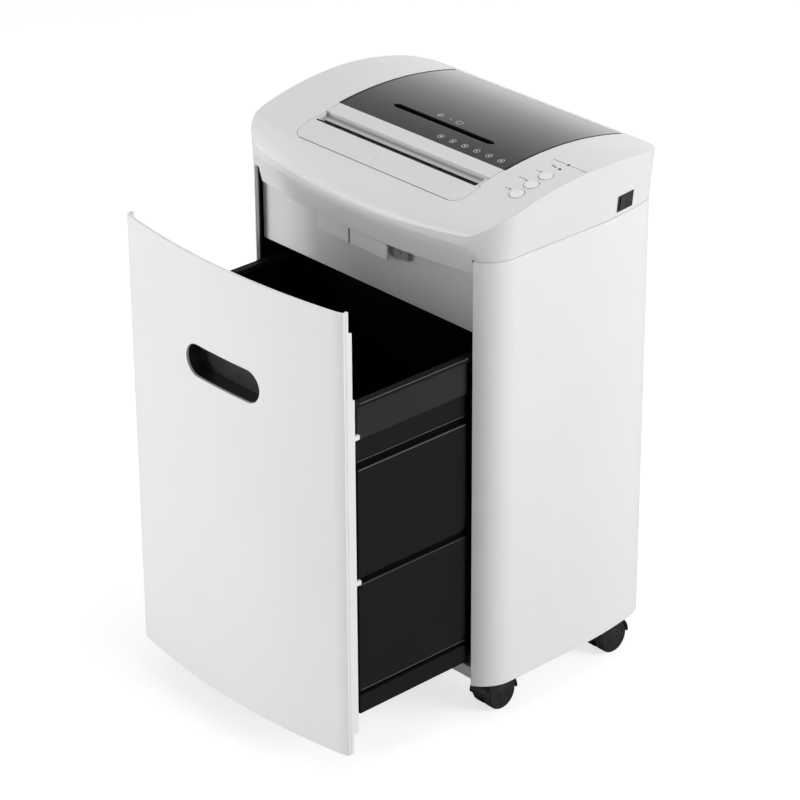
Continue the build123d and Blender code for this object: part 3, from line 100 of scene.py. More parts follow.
def moulded_plastic(name, light, dark, rub_and_glint, roughness, grain, depth, edge=0.0007, shine_level=0.5):
    """Moulded plastic: cloudy tone between two colours, edges toned to a third, and a pebbled grain.

    The grain is the width of a pebble, the depth its height and the edge the radius of corners, in metres.
    The edge tone is rubbed wear on most pieces and a painted highlight on the bin's rim and sides.
    """
    finish, tree, surface = new_finish(name)
    surface.inputs["Specular IOR Level"].default_value = shine_level
    place = node(tree, "TexCoord").outputs["Object"]
    cloud = node(tree, "TexNoise", Vector=place, Scale=7.0, Detail=4.0, Roughness=0.55).outputs["Fac"]
    pebble = node(tree, "TexNoise", Vector=place, Scale=1.0 / grain, Detail=2.0).outputs["Fac"]
    blotches = node(tree, "TexNoise", Vector=place, Scale=55.0, Detail=5.0).outputs["Fac"]
    soft_normal = softened(tree, edge)
    worn_and_lit = node(tree, "Math", Value=edge_mask(tree, soft_normal))
    worn_and_lit.operation = "MULTIPLY"
    tree.links.new(between(tree, blotches, 0.0, 1.0, 0.35, 0.75), worn_and_lit.inputs[1])
    colour = node(tree, "MixRGB", Fac=worn_and_lit.outputs[0], Color2=(*rub_and_glint, 1.0))
    tree.links.new(tones(tree, cloud, dark, light, 0.3, 0.7), colour.inputs["Color1"])
    tree.links.new(colour.outputs["Color"], surface.inputs["Base Color"])
    shine = between(tree, blotches, roughness - 0.05, roughness + 0.07, 0.25, 0.75)
    tree.links.new(shine, surface.inputs["Roughness"])
    bump = node(tree, "Bump", Strength=0.5, Distance=depth, Height=pebble, Normal=soft_normal)
    tree.links.new(bump.outputs["Normal"], surface.inputs["Normal"])
    return finish


def dress(finish, *names):
    """Give these CAD nodes one finish."""
    for name in names:
        parts[name].data.materials.clear()
        parts[name].data.materials.append(finish)


white_shell = moulded_plastic(
    "white_shell",
    light=(0.830, 0.830, 0.826),
    dark=(0.805, 0.806, 0.803),
    rub_and_glint=(0.70, 0.70, 0.69),
    roughness=0.40,
    grain=0.0006,
    depth=0.00003,
)
dress(white_shell, "cabinet_shell", "base_plate")

# Inside of the cabinet: a black liner sheet against the wall and two steel channels on the floor.
# The liner is a satin polypropylene sheet; the channels are zinc-plated strip, bent and riveted down.
black_liner = moulded_plastic(
    "black_liner",
    light=(0.011, 0.010, 0.010),
    dark=(0.007, 0.007, 0.007),
    rub_and_glint=(0.05, 0.05, 0.05),
    roughness=0.50,
    grain=0.0008,
    depth=0.00005,
    shine_level=0.25,
)
dress(black_liner, "cabinet_liner")


def ground_metal(name, light, dark, roughness, grain, stretch):
    """Ground or drawn metal: fine lines along the stretched direction, with duller patches."""
    finish, tree, surface = new_finish(name)
    place = node(tree, "TexCoord").outputs["Object"]
    drawn = node(tree, "Mapping", Vector=place, Scale=stretch).outputs["Vector"]
    lines = node(tree, "TexNoise", Vector=drawn, Scale=1.0 / grain, Detail=3.0).outputs["Fac"]
    patches = node(tree, "TexNoise", Vector=place, Scale=60.0, Detail=4.0).outputs["Fac"]
    tree.links.new(tones(tree, patches, dark, light, 0.3, 0.7), surface.inputs["Base Color"])
    shine = between(tree, lines, roughness - 0.08, roughness + 0.10, 0.3, 0.7)
    tree.links.new(shine, surface.inputs["Roughness"])
    surface.inputs["Metallic"].default_value = 1.0
    bump = node(tree, "Bump", Strength=0.4, Distance=0.00002, Height=lines, Normal=softened(tree, 0.0004))
    tree.links.new(bump.outputs["Normal"], surface.inputs["Normal"])
    return finish


zinc_strip = ground_metal(
    "zinc_strip",
    light=(0.62, 0.63, 0.64),
    dark=(0.50, 0.51, 0.52),
    roughness=0.34,
    grain=0.0006,
    stretch=(1.0, 0.05, 1.0),
)
dress(zinc_strip, "cabinet_rails")

# Castors: black nylon hoods that swivel on a pressed-in stem, with two wheels each.
# The wheels have a softer rolling face, a little dusty from the floor, and a dished cap on each hub.
castor_nylon = moulded_plastic(
    "castor_nylon",
    light=(0.008, 0.008, 0.008),
    dark=(0.005, 0.005, 0.005),
    rub_and_glint=(0.04, 0.04, 0.04),
    roughness=0.40,
    grain=0.0006,
    depth=0.00004,
    shine_level=0.35,
)
castor_tread = moulded_plastic(
    "castor_tread",
    light=(0.014, 0.014, 0.014),
    dark=(0.007, 0.007, 0.007),
    rub_and_glint=(0.05, 0.048, 0.046),
    roughness=0.58,
    grain=0.0009,
    depth=0.00008,
    shine_level=0.3,
)
castor_names = [f"{end}_{hand}" for end in ("front", "rear") for hand in ("left", "right")]
dress(castor_nylon, *[f"castor_fork_{name}" for name in castor_names])
dress(castor_tread, *[f"castor_wheels_{name}" for name in castor_names])
CAP_RADIUS = 0.0125
CAP_CROWN = 0.0009
CAP_RIPPLE = 0.00025
CAP_SINK = 0.0002
WELD = 1e-6


def sheet_mesh(name, grids, finish, body):
    """One piece from several grids of points, each an array of rows, columns and three places.

    Neighbours in a grid become quads. Points closer than the weld become one, which closes seams and poles.
    """
    corners = []
    faces = []
    start = 0
    for grid in grids:
        rows, columns = grid.shape[:2]
        index = start + np.arange(rows * columns).reshape(rows, columns)
        quads = np.stack((index[:-1, :-1], index[:-1, 1:], index[1:, 1:], index[1:, :-1]), axis=-1)
        corners.append(grid.reshape(-1, 3))
        faces.append(quads.reshape(-1, 4))
        start += rows * columns
    mesh = bpy.data.meshes.new(name)
    mesh.from_pydata(np.concatenate(corners).tolist(), [], np.concatenate(faces).tolist())
    welded = bmesh.new()
    welded.from_mesh(mesh)
    bmesh.ops.remove_doubles(welded, verts=welded.verts, dist=WELD)
    welded.to_mesh(mesh)
    welded.free()
    mesh.shade_smooth()
    mesh.materials.append(finish)
    piece = bpy.data.objects.new(name, mesh)
    bpy.context.scene.collection.objects.link(piece)
    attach(piece, body)
    return piece


def hub_cap(low, high, side):
    """Dished cap on one outer face of a wheel pair, turned about its axle.

    With r from 0 to 1 across its radius, it stands out by crown (1 - r^2) + ripple cos(6 pi r) - sink.
    """
    face = high[0] if side > 0 else low[0]
    r, turn = np.meshgrid(np.linspace(0.0, 1.0, 25), np.linspace(0.0, 2.0 * np.pi, 49), indexing="ij")
    out = CAP_CROWN * (1.0 - r**2) + CAP_RIPPLE * np.cos(6.0 * np.pi * r) - CAP_SINK
    y = (low[1] + high[1]) / 2 + CAP_RADIUS * r * np.cos(turn)
    z = (low[2] + high[2]) / 2 - side * CAP_RADIUS * r * np.sin(turn)
    return np.stack((face + side * out, y, z), axis=2)


for name in castor_names:
    low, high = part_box(f"castor_wheels_{name}")
    caps = [hub_cap(low, high, side) for side in (-1, 1)]
    sheet_mesh(f"wheel_caps_{name}", caps, castor_nylon, f"wheels_{name}")

# Cutting block: two steel plates tied by bars, hooked cutter discs on two ground shafts in bronze bushes,
# nylon strippers between the discs, a steel and nylon gear train, and a painted motor.
ground_steel = ground_metal(
    "ground_steel",
    light=(0.58, 0.58, 0.59),
    dark=(0.44, 0.44, 0.45),
    roughness=0.28,
    grain=0.0005,
    stretch=(0.06, 1.0, 1.0),
)
dress(ground_steel, "cutter_plate_left", "cutter_plate_right", "tie_bars", "front_shaft", "rear_shaft")
dress(ground_steel, "gear_post", "motor_shaft", "cover_screws")
hard_steel = ground_metal(
    "hard_steel",
    light=(0.40, 0.40, 0.42),
    dark=(0.27, 0.27, 0.29),
    roughness=0.32,
    grain=0.0005,
    stretch=(1.0, 1.0, 1.0),
)
dress(hard_steel, "front_cutters", "rear_cutters", "front_gear", "rear_gear", "drive_gear")
oil_bronze = ground_metal(
    "oil_bronze",
    light=(0.58, 0.41, 0.20),
    dark=(0.40, 0.27, 0.12),
    roughness=0.36,
    grain=0.0007,
    stretch=(1.0, 1.0, 1.0),
)
dress(oil_bronze, "shaft_bushes")
strip_nylon = moulded_plastic(
    "strip_nylon",
    light=(0.66, 0.64, 0.57),
    dark=(0.58, 0.56, 0.49),
    rub_and_glint=(0.72, 0.70, 0.64),
    roughness=0.45,
    grain=0.0008,
    depth=0.00004,
)
dress(strip_nylon, "stripper_front", "stripper_rear", "counter_gear")
motor_paint = moulded_plastic(
    "motor_paint",
    light=(0.17, 0.175, 0.18),
    dark=(0.13, 0.135, 0.14),
    rub_and_glint=(0.42, 0.42, 0.43),
    roughness=0.40,
    grain=0.0012,
    depth=0.00005,
)
dress(motor_paint, "motor_case")

# Head housing and interlock: a white tray under the cutters with a slit tab at its front,
# and a small grey switch whose sprung plunger feels for the closed drawer.
# The tray and the tab are moulded in one duller white, and the switch clips in beside the tab.
TAB_SLIT_X = -0.018
TAB_SLIT_HALF = 0.0009
# The tray's white is set darker than the tab's, though both are one moulding: painted shade on the tray
# front under the cover.
housing_shaded_white = moulded_plastic(
    "housing_shaded_white",
    light=(0.72, 0.72, 0.715),
    dark=(0.68, 0.68, 0.675),
    rub_and_glint=(0.68, 0.68, 0.67),
    roughness=0.46,
    grain=0.0007,
    depth=0.00004,
)
dress(housing_shaded_white, "head_housing")


def darkened(finish, axis, middle, near, far, shade):
    """Paint shade on a finish: tone it down to a grey where a coordinate is closer to a middle than near,
    fading out at far.
    """
    tree = finish.node_tree
    tone = tree.nodes["Principled BSDF"].inputs["Base Color"]
    place = node(tree, "TexCoord").outputs["Object"]
    away = node(tree, "Math", Value=node(tree, "SeparateXYZ", Vector=place).outputs[axis])
    away.operation = "SUBTRACT"
    away.inputs[1].default_value = middle
    reach = node(tree, "Math", Value=away.outputs[0])
    reach.operation = "ABSOLUTE"
    depth = between(tree, reach.outputs[0], 1.0, 0.0, near, far)
    base = tone.links[0].from_socket
    mix = node(tree, "MixRGB", Fac=depth, Color1=base, Color2=(shade, shade, shade, 1.0))
    tree.links.new(mix.outputs["Color"], tone)


tab_white = moulded_plastic(
    "tab_white",
    light=(0.80, 0.80, 0.795),
    dark=(0.76, 0.76, 0.755),
    rub_and_glint=(0.68, 0.68, 0.67),
    roughness=0.46,
    grain=0.0007,
    depth=0.00004,
)
# The walls of the tab's slit are painted near black: painted shade inside the narrow slit.
darkened(tab_white, "X", TAB_SLIT_X, TAB_SLIT_HALF, TAB_SLIT_HALF + 0.0002, shade=0.002)
dress(tab_white, "interlock_bracket")
switch_grey = moulded_plastic(
    "switch_grey",
    light=(0.30, 0.30, 0.30),
    dark=(0.25, 0.25, 0.25),
    rub_and_glint=(0.40, 0.40, 0.40),
    roughness=0.42,
    grain=0.0006,
    depth=0.00003,
)
dress(switch_grey, "interlock_switch", "interlock_plunger")

# Top cover: the crowned white moulding with its rolled nose, and the let-in entry plate and throat bar.
# All three come from the same resin; the bar and the plate are a shade glossier where paper slides.
# The funnel of guides under the slot is black, and a rubber lip edges the slot.
cover_white = moulded_plastic(
    "cover_white",
    light=(0.815, 0.815, 0.810),
    dark=(0.790, 0.791, 0.788),
    rub_and_glint=(0.70, 0.70, 0.69),
    roughness=0.38,
    grain=0.0006,
    depth=0.00003,
)
dress(cover_white, "top_cover")
dress(black_liner, "paper_guides")
PLATE_LOW, PLATE_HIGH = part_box("entry_insert")
HOLLOW_SHADE_Y = 0.0292


def paper_white(name):
    """The glossier white of the pieces that paper slides over."""
    return moulded_plastic(
        name,
        light=(0.80, 0.80, 0.796),
        dark=(0.775, 0.776, 0.772),
        rub_and_glint=(0.66, 0.66, 0.65),
        roughness=0.32,
        grain=0.0006,
        depth=0.00002,
    )


throat_white = paper_white("throat_white")
# A grey band along the hollow of the throat bar is painted shade in its concave cove.
darkened(throat_white, "Y", HOLLOW_SHADE_Y, 0.0004, 0.0018, shade=0.34)
dress(throat_white, "throat_bar")
insert_white = paper_white("insert_white")
# A thin near-black line along the plate's front edge is painted shade in the seam between plate and cover.
darkened(insert_white, "Y", PLATE_LOW[1], 0.0002, 0.0005, shade=0.03)
dress(insert_white, "entry_insert")
CROWN_RADIUS = 0.420
CROWN_Y = 0.116
CROWN_Z = 0.1905
SLOT_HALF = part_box("paper_guides")[1][0] - 0.0003
STRIP_HALF_WIDE = 0.0011
STRIP_SINK = 0.0001
LIP_HIGH = 0.0003


def crown_z(y):
    """Height of the crown: an arc of its radius about a line along X through CROWN_Y and CROWN_Z."""
    return CROWN_Z + np.sqrt(CROWN_RADIUS**2 - (y - CROWN_Y) ** 2)


def slot_lip():
    """Half-round lip on the crown along the rear edge of the entry plate, as long as the slot.

    Over half a turn it goes from one side to the other with the cosine and rises with the sine.
    """
    x, turn = np.meshgrid(np.linspace(-SLOT_HALF, SLOT_HALF, 61), np.linspace(0.0, np.pi, 9), indexing="ij")
    y = PLATE_HIGH[1] - STRIP_HALF_WIDE * (1.0 + np.cos(turn))
    z = crown_z(y) - STRIP_SINK + LIP_HIGH * np.sin(turn)
    return np.stack((x, y, z), axis=2)[:, ::-1]


lip_rubber = moulded_plastic(
    "lip_rubber",
    light=(0.006, 0.006, 0.006),
    dark=(0.004, 0.004, 0.004),
    rub_and_glint=(0.02, 0.02, 0.02),
    roughness=0.60,
    grain=0.0008,
    depth=0.00004,
    shine_level=0.1,
)
sheet_mesh("slot_lip", [slot_lip()], lip_rubber, "cabinet")

# Control panel: a thin smoked acrylic sheet let into the crown, black towards its two side edges,
# with a black rubber strip along each of them. The black disc chute stands under its slot.
PANEL_LOW, PANEL_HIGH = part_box("control_panel")
BORDER_WIDE = 0.0035
BORDER_FADE = 0.0010
TRIM_HIGH = 0.0004
TRIM_INSET = 0.0001


def smoked_acrylic(name):
    """Smoked acrylic: hazy near-black under a clear, faintly wavy gloss, blacker along both side edges."""
    finish, tree, surface = new_finish(name)
    place = node(tree, "TexCoord").outputs["Object"]
    reach = node(tree, "Math", Value=node(tree, "SeparateXYZ", Vector=place).outputs["X"])
    reach.operation = "ABSOLUTE"
    border_x = PANEL_HIGH[0] - BORDER_WIDE
    border = between(tree, reach.outputs[0], 0.0, 1.0, border_x, border_x + BORDER_FADE)
    haze = node(tree, "TexNoise", Vector=place, Scale=16.0, Detail=3.0).outputs["Fac"]
    middle = tones(tree, haze, (0.022, 0.022, 0.022), (0.030, 0.030, 0.030), 0.3, 0.7)
    tone = node(tree, "MixRGB", Fac=border, Color1=middle, Color2=(0.006, 0.006, 0.006, 1.0))
    tree.links.new(tone.outputs["Color"], surface.inputs["Base Color"])
    rubbed = node(tree, "TexNoise", Vector=place, Scale=140.0, Detail=6.0, Roughness=0.65).outputs["Fac"]
    tree.links.new(between(tree, rubbed, 0.10, 0.17, 0.3, 0.7), surface.inputs["Roughness"])
    surface.inputs["IOR"].default_value = 1.65
    surface.inputs["Coat Weight"].default_value = 0.4
    surface.inputs["Coat Roughness"].default_value = 0.08
    wave = node(tree, "TexNoise", Vector=place, Scale=30.0, Detail=2.0).outputs["Fac"]
    ripple = node(tree, "Bump", Strength=0.15, Distance=0.0001, Height=wave, Normal=softened(tree, 0.0004))
    tree.links.new(ripple.outputs["Normal"], surface.inputs["Normal"])
    return finish


dress(smoked_acrylic("smoked_acrylic"), "control_panel")
dress(black_liner, "disc_chute")


def edge_strip(x):
    """Half-round strip on the crown along one side of the panel, made like the slot's lip."""
    along = np.linspace(PANEL_LOW[1], PANEL_HIGH[1], 61)
    y, turn = np.meshgrid(along, np.linspace(0.0, np.pi, 9), indexing="ij")
    across = x - STRIP_HALF_WIDE * np.cos(turn)
    z = crown_z(y) - STRIP_SINK + TRIM_HIGH * np.sin(turn)
    return np.stack((across, y, z), axis=2)


strips = [edge_strip(side * (PANEL_HIGH[0] - TRIM_INSET)) for side in (-1, 1)]
sheet_mesh("panel_trim", strips, lip_rubber, "cabinet")

# Buttons, lights and board: white caps in round holes of the crown over a green board,
# with two dark clear lenses and small printed marks beside them.
# The caps rest on the board's switches; the lenses are pressed in from inside.
button_white = moulded_plastic(
    "button_white",
    light=(0.92, 0.92, 0.915),
    dark=(0.89, 0.89, 0.885),
    rub_and_glint=(0.74, 0.74, 0.73),
    roughness=0.30,
    grain=0.0005,
    depth=0.00002,
    edge=0.0005,
)
dress(button_white, "button_front", "button_middle", "button_rear")
board_green = moulded_plastic(
    "board_green",
    light=(0.020, 0.120, 0.050),
    dark=(0.014, 0.085, 0.036),
    rub_and_glint=(0.16, 0.20, 0.12),
    roughness=0.30,
    grain=0.0010,
    depth=0.00003,
)
dress(board_green, "control_board")
lens_dark = moulded_plastic(
    "lens_dark",
    light=(0.045, 0.045, 0.045),
    dark=(0.030, 0.030, 0.030),
    rub_and_glint=(0.10, 0.10, 0.10),
    roughness=0.15,
    grain=0.0005,
    depth=0.00001,
    edge=0.0003,
)
dress(lens_dark, "status_lights")
INK_LIFT = 0.00008
BUTTON_X = 0.169
BUTTON_YS = (0.0247, 0.0451, 0.0656)
BUTTON_GAP_SHADE_RADIUS = 0.0082
BUTTON_GAP_SHADE_WIDE = 0.0004


def printed_line(path, width):
    """Ribbon of ink on the crown: the path moved half the width to each side along its plan normal."""
    along = np.gradient(path, axis=0)
    along /= np.linalg.norm(along, axis=1)[:, None]
    across = np.stack((-along[:, 1], along[:, 0]), axis=1)
    shift = np.linspace(-0.5, 0.5, 3)[None, :, None] * width
    plan = path[:, None, :] + shift * across[:, None, :]
    height = crown_z(plan[..., 1]) + INK_LIFT
    return np.concatenate((plan, height[..., None]), axis=2)[:, ::-1]


def printed_ring(x, y, radius, width):
    """Ink ring: a printed line along a full circle."""
    turn = np.linspace(0.0, 2.0 * np.pi, 49)
    return printed_line(np.stack((x + radius * np.cos(turn), y + radius * np.sin(turn)), axis=1), width)


def printed_spot(x, y, radius, corners=0, turn=0.0):
    """Filled ink spot: the rim of a regular polygon, or of a circle for no corners, shrunk to its middle."""
    angle = np.linspace(0.0, 2.0 * np.pi, 61)
    rim = np.full(61, radius)
    if corners:
        step = 2.0 * np.pi / corners
        rim = radius * np.cos(step / 2) / np.cos((angle % step) - step / 2)
    share = np.linspace(0.0, 1.0, 5)[:, None]
    plan_x = x + share * rim * np.cos(angle + turn)
    plan_y = y + share * rim * np.sin(angle + turn)
    return np.stack((plan_x, plan_y, crown_z(plan_y) + INK_LIFT), axis=2)[:, ::-1]


def dash(x0, y0, x1, y1, width):
    """Short straight stroke of ink: a printed line between two plan points."""
    return printed_line(np.linspace((x0, y0), (x1, y1), 9), width)


def ink(name, light, dark):
    """Printed ink: a flat film with a little uneven cover."""
    finish, tree, surface = new_finish(name)
    place = node(tree, "TexCoord").outputs["Object"]
    cover = node(tree, "TexNoise", Vector=place, Scale=900.0, Detail=3.0).outputs["Fac"]
    tree.links.new(tones(tree, cover, dark, light, 0.3, 0.7), surface.inputs["Base Color"])
    tree.links.new(between(tree, cover, 0.35, 0.55, 0.3, 0.7), surface.inputs["Roughness"])
    return finish


grey_ink_and_shade = ink("grey_ink_and_shade", light=(0.20, 0.20, 0.20), dark=(0.14, 0.14, 0.14))
button_marks = [
    dash(0.1505, 0.0270, 0.1525, 0.0270, width=0.0016),
    dash(0.1550, 0.0270, 0.1580, 0.0270, width=0.0020),
    dash(0.1470, 0.0490, 0.1570, 0.0490, width=0.0008),
    printed_spot(0.1590, 0.0480, radius=0.0016, corners=4, turn=math.pi / 4),
    dash(0.1520, 0.0690, 0.1545, 0.0690, width=0.0010),
    dash(0.1560, 0.0690, 0.1600, 0.0690, width=0.0016),
]
lens_marks = [
    dash(0.1560, 0.0868, 0.1640, 0.0855, width=0.0018),
    dash(0.1470, 0.0980, 0.1650, 0.0978, width=0.0010),
    dash(0.1720, 0.0978, 0.1840, 0.0976, width=0.0007),
    dash(0.1860, 0.0976, 0.1945, 0.0975, width=0.0012),
]
# A thin grey ring round each button is painted shade of the gap between the cap and its hole in the crown,
# drawn with the grey ink.
button_gap_shades = [printed_ring(BUTTON_X, y, BUTTON_GAP_SHADE_RADIUS, BUTTON_GAP_SHADE_WIDE) for y in BUTTON_YS]
sheet_mesh("button_marks", button_marks + lens_marks + button_gap_shades, grey_ink_and_shade, "cabinet")

# Marks of the control panel: a plain disc and card outline behind the disc slot, and a row of plain rings
# in front of it. They are screen-printed on the sheet in pale grey.
MARK_LINE = 0.0007
REAR_ROW_Y = 0.0956
FRONT_ROW_Y = 0.0614
FRONT_ROW_X = 0.0192
FRONT_ROW_STEP = 0.0179
FRONT_ROW_COUNT = 6
pale_ink = ink("pale_ink", light=(0.70, 0.70, 0.70), dark=(0.55, 0.55, 0.55))


def printed_card(x, y, half_x, half_y, width):
    """Ink outline of a card: the curve |x/a|^4 + |y/b|^4 = 1."""
    turn = np.linspace(0.0, 2.0 * np.pi, 65)
    side_x = np.sign(np.cos(turn)) * np.sqrt(np.abs(np.cos(turn)))
    side_y = np.sign(np.sin(turn)) * np.sqrt(np.abs(np.sin(turn)))
    return printed_line(np.stack((x + half_x * side_x, y + half_y * side_y), axis=1), width)


panel_marks = [
    printed_ring(-0.0176, REAR_ROW_Y, radius=0.0030, width=MARK_LINE),
    printed_ring(-0.0176, REAR_ROW_Y, radius=0.0009, width=0.0006),
    printed_spot(-0.0024, REAR_ROW_Y + 0.0002, radius=0.0009),
    printed_card(0.0110, REAR_ROW_Y, half_x=0.0040, half_y=0.0027, width=MARK_LINE),
]
for step in range(FRONT_ROW_COUNT):
    ring_x = FRONT_ROW_X + FRONT_ROW_STEP * step
    panel_marks.append(printed_ring(ring_x, FRONT_ROW_Y, radius=0.0034, width=MARK_LINE))
    panel_marks.append(printed_spot(ring_x, FRONT_ROW_Y, radius=0.0013))
sheet_mesh("panel_marks", panel_marks, pale_ink, "cabinet")

# Power switch on the right side: a black nylon frame snapped into the cover and its rocking paddle.
# Two upright finger ridges are moulded on the rear half of the paddle.
rocker_black = moulded_plastic(
    "rocker_black",
    light=(0.014, 0.014, 0.014),
    dark=(0.009, 0.009, 0.009),
    rub_and_glint=(0.05, 0.05, 0.05),
    roughness=0.32,
    grain=0.0005,
    depth=0.00002,
    edge=0.0005,
)
dress(rocker_black, "rocker_bezel", "rocker_paddle")
# The ridges are moulded in the paddle's black nylon; their lighter grey is a painted highlight where they
# catch the light.
ridge_highlight_grey = moulded_plastic(
    "ridge_highlight_grey",
    light=(0.060, 0.060, 0.060),
    dark=(0.045, 0.045, 0.045),
    rub_and_glint=(0.12, 0.12, 0.12),
    roughness=0.35,
    grain=0.0005,
    depth=0.00002,
    edge=0.0003,
)
PADDLE_MIDDLE = np.array((0.188664, 0.1615, 0.558))
PADDLE_TURN = 0.11573
PADDLE_LEAN = 0.10488
PADDLE_HALF_LONG = 0.0093
PADDLE_DIP = 0.0004
PADDLE_RISE = 0.0011
RIDGE_PLACES = (0.0022, 0.0058)
RIDGE_HALF_WIDE = 0.0006
RIDGE_HALF_TALL = 0.0045
RIDGE_HIGH = 0.0005


def paddle_ridge(place):
    """Upright finger ridge on the paddle: high sqrt(1 - t^2) (1 - s^6) over the face.

    t runs across the ridge and s along it, both from -1 to 1. The face rises evenly from its middle.
    """
    along = np.array((-math.sin(PADDLE_TURN), math.cos(PADDLE_TURN), 0.0))
    level = np.array((math.cos(PADDLE_TURN), math.sin(PADDLE_TURN), 0.0))
    out = level * math.cos(PADDLE_LEAN) - np.array((0.0, 0.0, math.sin(PADDLE_LEAN)))
    s, t = np.meshgrid(np.linspace(-1.0, 1.0, 25), np.linspace(-1.0, 1.0, 11), indexing="ij")
    x = place + RIDGE_HALF_WIDE * t
    face = PADDLE_DIP + PADDLE_RISE * np.abs(x) / PADDLE_HALF_LONG
    height = face + RIDGE_HIGH * np.sqrt(1.0 - t**2) * (1.0 - s**6)
    rise = RIDGE_HALF_TALL * s
    upward = np.cross(out, along)
    return PADDLE_MIDDLE + x[..., None] * along + height[..., None] * out + rise[..., None] * upward


ridges = [paddle_ridge(place) for place in RIDGE_PLACES]
sheet_mesh("rocker_ridges", ridges, ridge_highlight_grey, "rocker")

# Cord gland: a black nylon ring in the rear wall of the cover.
# It is moulded in the same nylon as the castors and held by its own snap collar.
dress(castor_nylon, "cord_gland")

# Drawer front: a curved white panel with return flanges, held to the bin by screws and side clips.
# Its handle is a black moulded pocket behind an obround cut-out.
drawer_white = moulded_plastic(
    "drawer_white",
    light=(0.872, 0.872, 0.870),
    dark=(0.850, 0.851, 0.849),
    rub_and_glint=(0.72, 0.72, 0.71),
    roughness=0.42,
    grain=0.0006,
    depth=0.00003,
    shine_level=0.25,
)
dress(drawer_white, "drawer_front", "panel_clips")
pocket_black = moulded_plastic(
    "pocket_black",
    light=(0.022, 0.022, 0.022),
    dark=(0.015, 0.015, 0.015),
    rub_and_glint=(0.09, 0.09, 0.09),
    roughness=0.30,
    grain=0.0006,
    depth=0.00003,
)
dress(pocket_black, "handle_cup")

# Waste bin: a black polypropylene box with a flanged rim and raised side panels, on two steel runners.
# The panels are parted by deep grooves, and a thin lip is moulded along the rim and along each groove.
# Screws from the inside hold the bin to the drawer front.
bin_black = moulded_plastic(
    "bin_black",
    light=(0.0030, 0.0030, 0.0030),
    dark=(0.0020, 0.0020, 0.0020),
    rub_and_glint=(0.02, 0.02, 0.02),
    roughness=0.55,
    grain=0.0008,
    depth=0.00004,
    edge=0.0009,
    shine_level=0.05,
)
dress(bin_black, "waste_bin")
# On the rim the lighter edge tone is a painted highlight along its edges.
rim_black = moulded_plastic(
    "rim_black",
    light=(0.0130, 0.0130, 0.0130),
    dark=(0.0100, 0.0100, 0.0100),
    rub_and_glint=(0.12, 0.12, 0.12),
    roughness=0.50,
    grain=0.0008,
    depth=0.00004,
    edge=0.0009,
    shine_level=0.06,
)
dress(rim_black, "bin_rim")
# On the sides the lighter edge tone is a painted highlight along the panel and groove edges.
side_black = moulded_plastic(
    "side_black",
    light=(0.0340, 0.0340, 0.0340),
    dark=(0.0285, 0.0285, 0.0285),
    rub_and_glint=(0.12, 0.12, 0.12),
    roughness=0.50,
    grain=0.0008,
    depth=0.00004,
    edge=0.0010,
    shine_level=0.04,
)
# Painted shade on the sides: the lower panels are toned darker than the top band under the rim, which keeps
# the lighter tone as if lit, and each groove is painted near black.
LOWER_SHADE_Z = 0.20
LOWER_SHADE_HALF = 0.192
GROOVE_SHADES = ((0.364, 0.0038), (0.232, 0.0038), (0.0995, 0.0033))
darkened(side_black, "Z", LOWER_SHADE_Z, LOWER_SHADE_HALF, LOWER_SHADE_HALF + 0.003, shade=0.0125)
for groove_z, half_tall in GROOVE_SHADES:
    darkened(side_black, "Z", groove_z, half_tall, half_tall + 0.0002, shade=0.001)
dress(side_black, "drawer_side_left", "drawer_side_right")
dress(zinc_strip, "drawer_runners", "drawer_screws")
SIDE_LOW, SIDE_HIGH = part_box("drawer_side_right")
RIM_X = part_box("bin_rim")[1][0]
RAISED_X = SIDE_HIGH[0]
SHEET_X = SIDE_LOW[0] + 0.0008
LIP_INSET = 0.0001
LIP_END = 0.001
# Face that carries the lip, height and radius, from the rim down.
GROOVE_LIPS = (
    (RIM_X, 0.4354, 0.0005),
    (SHEET_X, 0.3682, 0.0004),
    (RAISED_X, 0.3594, 0.0007),
    (RAISED_X, 0.2276, 0.0004),
    (RAISED_X, 0.1028, 0.0004),
)


def groove_lip(x, z, radius, side):
    """Moulded lip along a groove of one side: a half round of the given radius that runs from front to rear.

    Over half a turn it stands out with the sine and goes from one edge to the other with the cosine.
    """
    along = np.linspace(SIDE_LOW[1] + LIP_END, SIDE_HIGH[1] - LIP_END, 41)
    y, turn = np.meshgrid(along, np.linspace(0.0, np.pi, 9), indexing="ij")
    across = x + side * radius * np.sin(turn)
    return np.stack((across, y, z - side * radius * np.cos(turn)), axis=2)[:, ::-1]


# The lips are moulded in the bin's black; their lighter grey is a painted highlight along each lip.
lip_highlight_grey = moulded_plastic(
    "lip_highlight_grey",
    light=(0.085, 0.085, 0.085),
    dark=(0.045, 0.045, 0.045),
    rub_and_glint=(0.12, 0.12, 0.12),
    roughness=0.45,
    grain=0.0008,
    depth=0.00002,
    edge=0.0003,
)
for side, hand in ((-1, "left"), (1, "right")):
    lips = [groove_lip(side * (face - LIP_INSET), z, radius, side) for face, z, radius in GROOVE_LIPS]
    sheet_mesh(f"groove_lips_{hand}", lips, lip_highlight_grey, "drawer")

